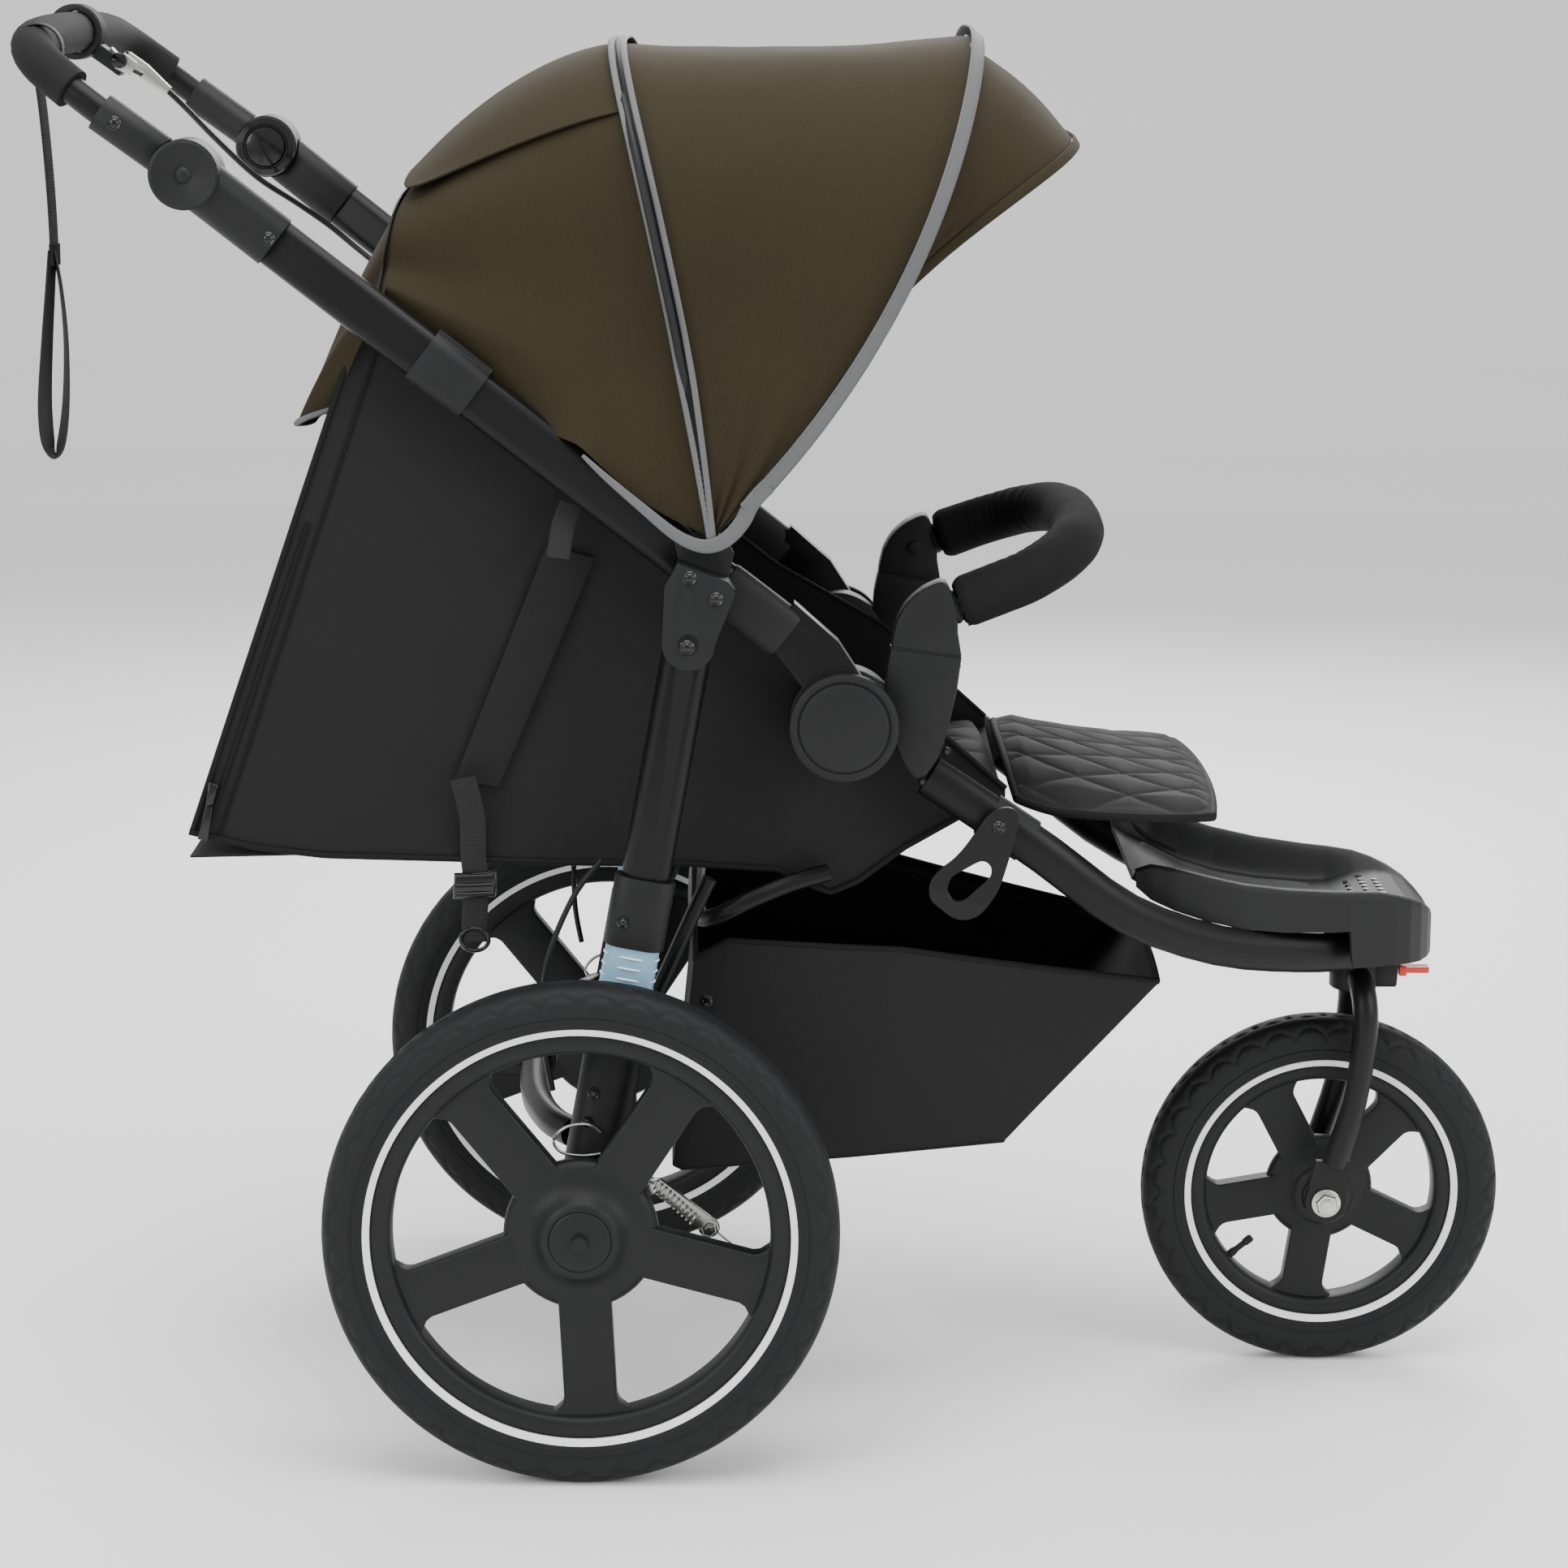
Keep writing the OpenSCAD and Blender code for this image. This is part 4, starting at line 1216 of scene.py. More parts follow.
@dataclass
class Padding:
    """The padded pieces: leg rest, backrest, seat and harness."""

    quilt: tuple[float, float] = (78.0, 54.0)

    def _pad(
        self,
        name: str,
        node: str,
        body: str,
        outline: Callable[[float, float], tuple[float, float, float]],
        thick: float,
        quilted: bool,
    ) -> bpy.types.Object:
        """Build one padded piece as a crowned closed form.

        Args:
            name: Name of the piece.
            node: CAD node that it stands for.
            body: The body it rides on.
            outline: Gives the middle layer's point for two shares.
            thick: Thickness in millimetres.
            quilted: Whether it has sewn diamonds.

        Returns:
            The pad.
        """
        shape = bmesh.new()
        for way in (1, -1):

            def place(u: float, v: float) -> Vector:
                """The point of one face for two shares."""
                x, y, z = outline(u, v)
                edge = min(u, 1 - u, v * 1.0, (1 - v) * 1.0)
                crown = min(1.0, max(0.0, edge) / 0.09) ** 0.5
                puff = 0.72
                if quilted:
                    a = abs(math.sin(math.pi * (x / self.quilt[0] + y / self.quilt[1])))
                    b = abs(math.sin(math.pi * (x / self.quilt[0] - y / self.quilt[1])))
                    puff = 0.52 + 0.48 * min(a, b) ** 0.38
                puff += 0.05 * noise.noise(Vector((x, y, z)) * 0.03)
                return at(x, y, z + way * thick / 2 * crown * puff)

            surface(shape, 150 if quilted else 60, 100 if quilted else 60, place)
        bmesh.ops.remove_doubles(shape, verts=shape.verts, dist=1e-5)
        pad = Maker.publish(shape, name, SEAT, body, 70)
        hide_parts(node)
        return pad

    @staticmethod
    def rounded(
        u: float, v: float, x0: float, x1: float, w0: float, w1: float, corner: float
    ) -> tuple[float, float]:
        """Map two shares to a rounded four-sided plan.

        Args:
            u: Share across.
            v: Share forward.
            x0: Rear X.
            x1: Front X.
            w0: Half width at the rear.
            w1: Half width at the front.
            corner: How much the corners are rounded off, in millimetres.

        Returns:
            X and Y in millimetres.
        """
        s, t = u * 2 - 1, v * 2 - 1
        a = s * math.sqrt(max(0.0, 1 - 0.5 * t * t))
        b = t * math.sqrt(max(0.0, 1 - 0.5 * s * s))
        k = corner
        ss, tt = s * (1 - k) + a * 1.2 * k, t * (1 - k) + b * 1.2 * k
        x = x0 + (x1 - x0) * (tt + 1) / 2
        return x, ss * (w0 + (w1 - w0) * v)

    def build(self) -> None:
        """Build the pads and the harness."""
        self._leg_rest()
        self._backrest()
        self._seat()
        self._harness()

    def _leg_rest(self) -> None:
        """Build the quilted leg rest with its bound edge."""

        def outline(u: float, v: float) -> tuple[float, float, float]:
            """The middle layer."""
            x, y = self.rounded(u, v, 336, 498, 150, 162, 0.32)
            arch = 30 * (1 - v) ** 1.3 + 3
            return x, y, 507 - 5 * v + arch * (1 - min(1.0, abs(y) / 156) ** 2.4)

        self._pad("leg_rest_quilt", "leg_pad", "leg_rest", outline, 20, True)
        rim = []
        for k in range(161):
            a = k / 160 * 4
            u, v = ((a, 0.0), (1.0, a - 1), (3 - a, 1.0), (0.0, 4 - a))[min(3, int(a))]
            rim.append(at(*outline(u, v)))
        shape = bmesh.new()
        sweep(shape, rim, mm(3.4), mm(3.8), sides=10, closed=True)
        Maker.publish(shape, "leg_rest_binding", BINDING, "leg_rest", 60)

    def _backrest(self) -> None:
        """Build the reclined backrest pad."""

        def outline(u: float, v: float) -> tuple[float, float, float]:
            """The middle layer."""
            x, y = self.rounded(u, v, -284, 42, 188, 167, 0.12)
            return x, y, 498 - 5 * v

        self._pad("backrest_pad", "backrest", "backrest", outline, 17, True)

    def _seat(self) -> None:
        """Build the seat pad."""

        def outline(u: float, v: float) -> tuple[float, float, float]:
            """The middle layer."""
            x, y = self.rounded(u, v, 66, 322, 168, 142, 0.12)
            return x, y, 490 + 30 * v**1.3

        self._pad("seat_pad", "seat_base", "chassis", outline, 19, True)

    def _harness(self) -> None:
        """Build the shoulder pads, the webbing and the buckle."""
        for side, word in SIDES:
            pad = bmesh.new()
            path = smooth_path(mirrored([(-188, 54, 512.5), (-150, 54, 514), (-105, 54, 514), (-62, 54, 512.5)], side), 8)
            sweep(pad, path, mm(23), mm(4.5), sides=24, square=0.55, scale=lambda t: 0.86 + 0.14 * math.sin(math.pi * t) ** 0.4)
            made = Maker.publish(pad, f"shoulder_pad_{word}", SEAT, "backrest", 60)
            if side == 1:
                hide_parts("harness_straps")
            web = bmesh.new()
            run = smooth_path(mirrored([(-64, 52, 511), (-20, 46, 508.5), (30, 42, 506), (44, 40, 505)], side), 6)
            sweep(web, run, mm(12), mm(0.9), sides=12, square=0.5)
            Maker.publish(web, f"shoulder_webbing_{word}", WEBBING, "backrest", 60)
        buckle = Dresser.copy("harness_buckle", "harness_buckle_shell", GLOSS, 2.0)
        LOG.info("%s", buckle.name)


# ---- frame pieces dressed from the CAD --------------------------------------


class Dresser:
    """Makes rounded, smoothly shaded pieces from CAD nodes."""

    model: dict = {}

    @classmethod
    def copy(
        cls, node: str, name: str, finish: Finish, bevel: float = 0.8, sharp: float = 32.0, cut: float = 24.0
    ) -> bpy.types.Object:
        """Make a piece with rounded edges from a CAD node.

        Args:
            node: The CAD node.
            name: Name of the piece.
            finish: Its finish.
            bevel: Size of the rounded edges in millimetres, or 0.
            sharp: Angle past which an edge stays sharp.
            cut: Angle past which an edge is rounded.

        Returns:
            The piece, which stands for the node.
        """
        source = cls.model["nodes"][node]
        shape = bmesh.new()
        shape.from_mesh(source.data)
        bmesh.ops.remove_doubles(shape, verts=shape.verts, dist=1e-5)
        bmesh.ops.dissolve_limit(shape, angle_limit=math.radians(0.6), verts=shape.verts, edges=shape.edges)
        if bevel:
            limit = math.radians(cut)
            edges = [e for e in shape.edges if len(e.link_faces) == 2 and e.calc_face_angle(0.0) > limit]
            bmesh.ops.bevel(
                shape, geom=edges, offset=mm(bevel), segments=2, profile=0.5, affect="EDGES", material=-1,
                clamp_overlap=True,
            )
        made = Maker.publish(shape, name, finish, source["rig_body"], sharp, recalc=False)
        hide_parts(node)
        return made


@dataclass
class Frame:
    """Tubes, brackets, joints and rivets of the chassis and the push arms."""

    def build(self) -> None:
        """Build the frame."""
        plain = (
            ("front_rails", "front_rail_tubes", TUBE, 0.0), ("push_arms", "push_arm_tubes", TUBE, 0.8),
            ("rear_legs", "rear_leg_tubes", TUBE, 0.8), ("rear_cross_tube", "rear_cross_tube_bowed", TUBE, 0.0),
            ("fork_head", "fork_head_block", MOULDING, 1.0), ("basket_frame", "basket_support_tubes", TUBE, 0.0),
            ("fold_housings", "fold_joint_housings", MOULDING, 1.6), ("leg_brackets", "leg_bracket_plates", MOULDING, 0.9),
            ("canopy_clamps", "canopy_clamp_shells", MOULDING, 1.2), ("leg_collars", "leg_collar_shells", MOULDING, 1.2),
            ("tilt_housings", "tilt_joint_housings", MOULDING, 1.8), ("handle_knuckles", "tilt_joint_knuckles", MOULDING, 1.6),
            ("handlebar", "handlebar_tube", TUBE, 0.0), ("handle_grip", "handle_grip_foam", FOAM, 0.0),
            ("axle_struts", "axle_strut_shells", MOULDING, 1.8), ("front_fork", "front_fork_tubes", STEEL_BLACK, 0.0),
            ("front_axle", "front_axle_bolt", STEEL, 0.8), ("swivel_lock", "swivel_lock_lever", RED, 0.9), ("spring_sleeves", "spring_sleeve_tubes", SLEEVE, 0.4),
            ("parking_pedal", "parking_pedal_lever", MOULDING, 1.8), ("brake_clamp", "brake_clamp_ring", MOULDING, 0.8),
            ("brake_lever", "brake_lever_blade", STEEL, 0.9), ("brake_arm_left", "brake_arm_left_plate", STEEL, 0.5),
            ("brake_arm_right", "brake_arm_right_plate", STEEL, 0.5), ("tilt_button_left", "tilt_button_left_cap", GLOSS, 0.8),
            ("tilt_button_right", "tilt_button_right_cap", GLOSS, 0.8), ("bumper_bar", "bumper_bar_tube", TUBE, 0.0),
            ("bumper_button_left", "bumper_button_left_cap", MOULDING, 0.6),
            ("bumper_button_right", "bumper_button_right_cap", MOULDING, 0.6),
            ("buckle_button", "buckle_button_cap", RED, 0.7), ("canopy_mid_bow", "canopy_mid_bow_wire", MOULDING, 0.0),
            ("canopy_front_bow", "canopy_front_bow_wire", MOULDING, 0.0),
            ("canopy_visor_bow", "canopy_visor_bow_wire", STEEL_BLACK, 0.0), ("brake_cable", "brake_cable_jacket", CABLE, 0.0),
        )
        for node, name, finish, bevel in plain:
            Dresser.copy(node, name, finish, bevel)
        self._fold_discs()
        self._bumper_brackets()
        self._arm_sockets()
        self._tilt_faces()
        self._rivets()
        self._collars()
        self._hook()

    def _hook(self) -> None:
        """Build the bag hook as a bent plate with a long opening."""
        outer = rounded(
            [(327, 520), (314, 514), (305, 501), (296, 488), (287, 478), (276, 469), (269, 457), (270, 446), (278, 438),
             (287, 431), (297, 429), (307, 433), (316, 443), (323, 455), (328, 470), (333, 488), (337, 505), (336, 516)]
        )
        inner = rounded([(309, 477), (316, 473), (316, 464), (306, 454), (297, 446), (288, 445), (283, 453), (286, 464), (297, 471)])
        centre = (300, 459)

        def place(u: float, v: float) -> Vector:
            """The point for shares round and outwards."""
            a, b = reach(inner, centre, u * math.tau), reach(outer, centre, u * math.tau)
            x, z = a[0] + (b[0] - a[0]) * v, a[1] + (b[1] - a[1]) * v
            bent = max(0.0, 449 - z - 0.35 * (x - 290)) / 16
            return at(x, -206.4 + 3.5 * bent**1.6, z)

        shape = bmesh.new()
        surface(shape, 144, 14, place)
        plate_of = Maker.publish(shape, "storage_hook_plate", STEEL_BLACK, "storage_hook", 45, wall=3.4)
        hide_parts("storage_hook")

    def _fold_discs(self) -> None:
        """Build the round covers of the fold joints."""
        shape = bmesh.new()
        profile = [(41.6, 0), (42.3, 1.2), (42.3, 5), (40.5, 7.1), (37.2, 7.6), (36.3, 7.2), (35.6, 6.0), (34.9, 6.0), (34.3, 7.4)]
        profile += [(32, 8.3), (20, 9.0), (0, 9.2), (0, 0), (41.6, 0)]
        for side, _ in SIDES:
            lathe(shape, at(201, side * 222, 586), profile, Vector((0, side, 0)), 96)
        cap = Maker.publish(shape, "fold_joint_covers", MOULDING, "chassis", 45)
        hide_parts("fold_caps")

    def _bumper_brackets(self) -> None:
        """Build the armrest brackets in two moulded shells."""
        low = rounded([(283.5, 588), (278, 566), (270, 551), (261, 541), (252, 547), (243, 565), (236, 587), (233, 608), (234, 628)])
        low = [(237, 643.6), (291.5, 636.6), (288.5, 612), (283.5, 588)] + low[4:28] + [(233, 608), (234, 628)]
        high = rounded([(238.5, 653), (241, 664), (248, 677), (258, 687), (268, 693), (276.5, 695.6), (281, 691), (285, 681), (288, 669), (288.4, 656)])
        high = [(291.5, 638), (288.4, 656), (288, 669)] + list(reversed(high[4:32])) + [(238.5, 653), (237.4, 645)]
        shape = bmesh.new()
        for side, _ in SIDES:
            plate(shape, low, side * 177.5, side * 202.5, 1.8, 2)
            plate(shape, high, side * 177.5, side * 202.5, 1.8, 2)
            plate(shape, [(237.4, 637), (291, 629), (290.6, 643), (238.6, 651)], side * 178.9, side * 201.1, 0.4, 1)
        bracket = Maker.publish(shape, "bumper_bracket_shells", MOULDING, "chassis", 40)
        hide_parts("bumper_brackets")
        lip = bmesh.new()
        for side, _ in SIDES:
            ahead = Vector((math.cos(math.radians(20.5)), 0, math.sin(math.radians(20.5))))
            lathe(lip, at(284, side * 188, 673.5), [(9.4, 0), (13.2, 0), (13.6, 3), (11.8, 5.8), (9.4, 6), (9.4, 0)], ahead, 32)
        Maker.publish(lip, "bumper_bar_sockets", MOULDING, "chassis", 40)

    def _arm_sockets(self) -> None:
        """Build the moulded cuffs where the arm tubes enter the fold joints."""
        shape = bmesh.new()
        for side, _ in SIDES:
            path = [at(x, side * (211 + 0.0629 * (201 - x)), 785 - 0.782 * (x + 9)) for x in (156, 152, 140, 124, 108, 106)]
            sizes = (0.96, 1.0, 1.0, 1.0, 0.985, 0.95)
            sweep(
                shape, path, mm(11.9), mm(20.8), lambda i: Vector((0.62, 0, 0.79)), 32, 0.75,
                scale=lambda t: sizes[min(5, round(t * 5))],
            )
        Maker.publish(shape, "fold_joint_arm_cuffs", MOULDING, "push_arms", 40)
        lips = bmesh.new()
        for side, _ in SIDES:
            path = [at(314, side * 183.5, 510), at(330, side * 182.6, 499), at(346, side * 181.6, 488)]
            sweep(lips, path, mm(11.6), mm(18.4), lambda i: Vector((0.5, 0, 0.86)), 32, 0.8)
        Maker.publish(lips, "hook_clamp_bands", MOULDING, "chassis", 40)

    def _tilt_faces(self) -> None:
        """Build the round faces of the handle's tilt joints."""
        outer = [(24.6, 0), (25.4, 0.8), (25.4, 1.4), (23.6, 2.2), (22.4, 1.7), (8, 2.3), (7, 1.6), (6.2, 1.6), (5.6, 2.2)]
        outer += [(4.4, 3.5), (2, 4.1), (0, 4.2), (0, 0), (24.6, 0)]
        shape = bmesh.new()
        for side, _ in SIDES:
            lathe(shape, at(-290, side * 261.4, 1005), outer, Vector((0, side, 0)), 72)
        Maker.publish(shape, "tilt_joint_outer_faces", MOULDING, "push_arms", 40)
        inner = [(24.8, 0), (25.3, 1.0), (24.2, 2.6), (19.4, 3.4), (18.6, 2.6), (17.2, 2.6), (17.0, 0), (24.8, 0)]
        rings = bmesh.new()
        for side, _ in SIDES:
            lathe(rings, at(-290, side * 221.6, 1005), inner, Vector((0, -side, 0)), 72)
        Maker.publish(rings, "tilt_joint_inner_rings", GLOSS, "handlebar", 40)

    def _rivets(self) -> None:
        """Place every rivet head, one piece for each body."""
        lean = 0.1799
        groups: dict[str, list[tuple[float, float, float, float]]] = {
            "push_arms": [
                (83, 707, 262, 5.4), (103, 691, 262, 5.4), (81, 654, 262, 5.8), (-105, 852, 230.6, 5.0), (-230, 958, 252.2, 5.4),
            ],
            "handlebar": [(-341, 1042, 253.6, 5.4)],
            "chassis": [(322, 504, 206.2, 5.2), (262, 539, 202.5, 3.4), (281, 563, 202.5, 3.4)],
            "rear_legs": [(30 + 2, 440, 261.4, 4.4)],
            "rear_axle": [(17 * lean + 6, 304, 259.6, 4.6), (4, 281, 259.6, 4.4)],
        }
        for body, places in groups.items():
            shape = bmesh.new()
            for x, z, y, radius in places:
                for side, _ in SIDES:
                    rivet(shape, x, z, y, side, radius)
            Maker.publish(shape, f"rivets_{body}", GLOSS, body, 50)

    def _collars(self) -> None:
        """Build the coils, white rings and wire bails of the suspension."""
        lean = math.atan2(82, 456)

        def leg(t: float, side: int, around: float = 0.0, radius: float = 0.0) -> Vector:
            """A point round the leg's line, t millimetres above the axle."""
            x = t * math.sin(lean) + radius * math.cos(around) * math.cos(lean)
            z = 200 + t * math.cos(lean) - radius * math.cos(around) * math.sin(lean)
            return at(x, side * (247 + radius * math.sin(around)), z)

        coil = bmesh.new()
        ends = bmesh.new()
        for side, _ in SIDES:
            path = [leg(150 + 62 * k / 240, side, k * math.tau * 6.5 / 240, 8.4) for k in range(241)]
            sweep(coil, path, mm(1.7), mm(1.7), sides=8)
            for t in (189, 197.5, 206, 214.5):
                turns = [k * math.tau / 48 for k in range(49)]
                path = [leg(t, side, a, 21.2) for a in turns]
                for point, a in zip(path, turns):
                    point.y = mm(side * (247 + 13.1 * math.sin(a)))
                sweep(ends, path, mm(0.9), mm(0.9), sides=8, closed=True)
        made = Maker.publish(coil, "suspension_coils", SPRING, "rear_axle", 60)
        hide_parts("suspension_springs")
        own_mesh(made)
        rings = Maker.publish(ends, "suspension_white_rings", RING_WHITE, "rear_axle", 60)
        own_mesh(rings)
        bail = bmesh.new()
        for side, _ in SIDES:
            path = smooth_path(mirrored([(14, 262, 273), (4, 266, 281), (-12, 267, 279), (-22, 266, 268), (-16, 265, 258), (0, 264, 255), (14, 262, 256)], side), 6)
            sweep(bail, path, mm(1.3), mm(1.3), sides=8)
        Maker.publish(bail, "strut_wire_bails", STEEL, "rear_axle", 60)


@dataclass
class Tray:
    """The moulded footrest tray."""

    stations: tuple[tuple[float, float, float, float, float], ...] = (
        (438, 120, 437, 450, 440), (450, 124, 427, 455, 433), (470, 125, 418, 452, 424), (495, 121, 409, 445, 412),
        (525, 115, 401, 437, 404), (560, 106, 396, 431, 400), (600, 97, 394, 427, 399), (616, 93.4, 394, 426, 400),
        (618.4, 92.8, 363, 426, 401), (640, 86, 363, 424, 409), (655, 80, 363, 420, 411), (668, 71, 362, 415, 410),
        (679, 58, 361, 409, 406), (687, 43, 361, 402, 399), (692, 28, 361, 396, 394), (695, 12, 362, 390, 389),
        (696, 0, 364, 385, 385),
    )

    def _at(self, x: float) -> tuple[float, ...]:
        """Half width, skirt bottom, rim top and floor at a place along the tray."""
        rows = self.stations
        for a, b in zip(rows, rows[1:]):
            if x <= b[0]:
                t = (x - a[0]) / (b[0] - a[0])
                return tuple(a[k] + (b[k] - a[k]) * t for k in range(1, 5))
        return rows[-1][1:]

    def build(self) -> None:
        """Build the tray."""

        def place(u: float, v: float) -> Vector:
            """The point for shares across and forward."""
            x = 438 + 258 * math.sin(v * math.pi / 2) ** 0.9 if v > 0 else 438.0
            width, low, rim, floor = self._at(x)
            s = u * 2 - 1
            side, share = math.copysign(1, s), abs(s)
            bend, lip = min(18.0, width * 0.45), min(8.5, width * 0.3)
            if share > 0.8:
                t = (share - 0.8) / 0.2
                return at(x, side * (width - lip * 0.18 * (1 - t)), rim - 3 + (low - rim + 3) * t)
            if share > 0.7:
                t = (share - 0.7) / 0.1
                return at(x, side * (width - lip * 0.18 - lip * 0.82 * (1 - t) ** 1.5), rim - 3 * t**2)
            if share > 0.45:
                t = (share - 0.45) / 0.25
                ease = t * t * (3 - 2 * t)
                return at(x, side * (width - lip - bend * (1 - t)), floor + (rim - floor) * ease)
            y = (width - lip - bend) * share / 0.45
            ridge = 2.2 * math.exp(-(((y - (width - 44)) / 3.0) ** 2)) if 460 < x < 600 else 0.0
            return at(x, side * y, floor + ridge)

        shape = bmesh.new()
        surface(shape, 120, 150, place)
        tray = Maker.publish(shape, "footrest_tray_shell", MOULDING, "chassis", 35, wall=3.0)
        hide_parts("footrest_tray")
        # Each drain hole is a flat dark gloss disc laid on the tray's floor: painted shade stands in for the opening.
        holes = bmesh.new()
        for row in range(3):
            for k in range(-3, 4):
                if row == 2 and abs(k) == 3:
                    continue
                x = 630 + 11 * row
                p = at(x, 12 * k + 6 * (row % 2), self._at(x)[3] + 0.5)
                lathe(holes, p, [(0, -0.4), (3.0, -0.4), (3.1, 0.15), (0, 0.2)], Vector((0, 0, 1)), 16)
        Maker.publish(holes, "footrest_drain_hole_shade_discs", GLOSS, "chassis", 50)
        ribs = bmesh.new()
        for side, _ in SIDES:
            path = smooth_path(mirrored([(446, 112, 446), (452, 108, 436), (462, 104, 428), (492, 100, 414)], side), 6)
            sweep(ribs, path, mm(2.2), mm(7.0), lambda i: Vector((0.4, 0, 0.9)), 16, 0.6)
        Maker.publish(ribs, "footrest_wing_ribs", MOULDING, "chassis", 40)


@dataclass
class Bumper:
    """The padded cover of the bumper bar."""

    line: tuple[tuple[float, float, float], ...] = (
        (289.5, 187.8, 676.6), (320, 184, 688), (350, 171, 699), (376, 130, 710), (389, 72, 715), (391.5, 0, 716.5),
        (389, -72, 715), (376, -130, 710), (350, -171, 699), (320, -184, 688), (289.5, -187.8, 676.6),
    )

    def build(self) -> None:
        """Build the cover with gathered ends and folds inside its bends."""
        path = smooth_path(self.line, 26)
        count = len(path)
        shape = bmesh.new()
        sweep(shape, path, mm(20.8), mm(20.8), sides=56)
        shape.verts.ensure_lookup_table()
        for vert in shape.verts:
            i = min(range(0, count), key=lambda k: (path[k] - vert.co).length_squared)
            t = i / (count - 1)
            out = vert.co - path[i]
            if out.length < mm(5):
                continue
            way = out.normalized()
            end = min(t, 1 - t)
            gather = max(0.0, 1 - end / 0.032)
            inner = max(0.0, -way.x) ** 1.2
            bend = math.exp(-(((min(abs(t - 0.2), abs(t - 0.8))) / 0.1) ** 2))
            pleat = math.sin(t * 210 + 4 * noise.noise(vert.co * 18)) * inner * bend
            angle = math.atan2(way.z, way.y)
            move = 1.0 * pleat - gather**1.6 * (5.2 + 1.1 * math.sin(angle * 11))
            move += 0.7 * noise.noise(vert.co * 30) + 0.9 * noise.noise(vert.co * 9)
            vert.co += way * mm(move)
        pad = Maker.publish(shape, "bumper_pad_cover", PAD, "bumper_bar", 70)
        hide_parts("bumper_pad")
        seam = bmesh.new()
        inner = [p + Vector((-mm(2), 0, -mm(20.4))) for p in path[10:-10]]
        sweep(seam, inner, mm(1.0), mm(0.8), sides=8)
        Maker.publish(seam, "bumper_pad_seam", BINDING, "bumper_bar", 60)


@dataclass
class Basket:
    """The storage basket: sagging sides, bound edges and snap buttons."""

    upper: tuple[tuple[float, float, float], ...] = ((86, 184, 392), (112, 185, 408), (250, 171, 401), (458, 113, 357))
    lower: tuple[tuple[float, float, float], ...] = ((70, 185, 224), (76, 185, 221), (210, 165, 226), (333, 146, 233))

    def _line(self, rows: Sequence[Point], t: float) -> Vector:
        """A point at a share of one edge."""
        t = min(max(t, 0.0), 1.0) * (len(rows) - 1)
        i = min(int(t), len(rows) - 2)
        return Vector(rows[i]).lerp(Vector(rows[i + 1]), t - i)

    def _wall(self, u: float, v: float) -> Vector:
        """A point of the wall: u round the basket from the left rear corner, v downwards."""
        top, low = self._ring(self.upper, u), self._ring(self.lower, u)
        p = top.lerp(low, v)
        side = math.copysign(1, p.y) if abs(p.y) > 60 else 0
        hump = math.sin(math.pi * v)
        q = Vector((p.x, p.y * 0.5, p.z)) / 1000
        p.y += side * (3.0 * hump * noise.noise(q * 8) - 2.5 * hump)
        p.z -= 4.0 * math.sin(math.pi * max(0.0, min(1.0, (p.x - 100) / 350))) * (1 - v) ** 3
        return at(*p)

    def _ring(self, rows: Sequence[Point], u: float) -> Vector:
        """A point of a closed edge loop: left side forward, front, right side back, rear."""
        u = u % 1.0
        if u < 0.38:
            return self._line(rows, u / 0.38)
        if u < 0.5:
            s = (u - 0.38) / 0.12
            p = Vector(rows[-1])
            return Vector((p.x + 3 * math.sin(math.pi * s), p.y * (1 - 2 * s), p.z))
        if u < 0.88:
            p = self._line(rows, 1 - (u - 0.5) / 0.38)
            return Vector((p.x, -p.y, p.z))
        s = (u - 0.88) / 0.12
        p = Vector(rows[0])
        return Vector((p.x - 3 * math.sin(math.pi * s), p.y * (2 * s - 1), p.z))

    def build(self) -> None:
        """Build the basket."""
        shape = bmesh.new()
        surface(shape, 240, 40, self._wall)
        surface(
            shape, 60, 60,
            lambda u, v: at(*(self._line(self.lower, v) * 1.0 - Vector((0, self._line(self.lower, v).y * 2 * u, 3 * math.sin(math.pi * u))))),
        )
        bmesh.ops.remove_doubles(shape, verts=shape.verts, dist=mm(0.4))
        basket = Maker.publish(shape, "basket_cloth", SEAT, "chassis", 60, wall=1.8)
        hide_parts("basket")
        trim = bmesh.new()
        for v, size in ((0.0, 2.6), (1.0, 2.2)):
            path = [self._wall(k / 240, v) for k in range(241)]
            sweep(trim, path, mm(size), mm(size), sides=8, closed=True)
        for u in (0.004, 0.376, 0.504, 0.876):
            sweep(trim, [self._wall(u, k / 30) for k in range(31)], mm(1.7), mm(1.7), sides=8)
        Maker.publish(trim, "basket_binding", BINDING, "chassis", 60)
        hem = bmesh.new()
        for shift in (0.055,):
            for a, b in ((0.01, 0.37), (0.51, 0.87)):
                sweep(hem, [self._wall(a + (b - a) * k / 90, shift) for k in range(91)], mm(0.8), mm(0.7), sides=6)
        Maker.publish(hem, "basket_hem_seam", STITCH, "chassis", 60)
        snap = bmesh.new()
        for side, _ in SIDES:
            centre = self._wall(0.075 if side == 1 else 0.805, 0.24)
            lathe(snap, centre, [(0, -1), (5.6, -1), (5.8, 1.2), (4.6, 2.2), (2, 2.8), (0, 2.9)], Vector((0, side, 0)), 24)
        Maker.publish(snap, "basket_snaps", GLOSS, "chassis", 50)


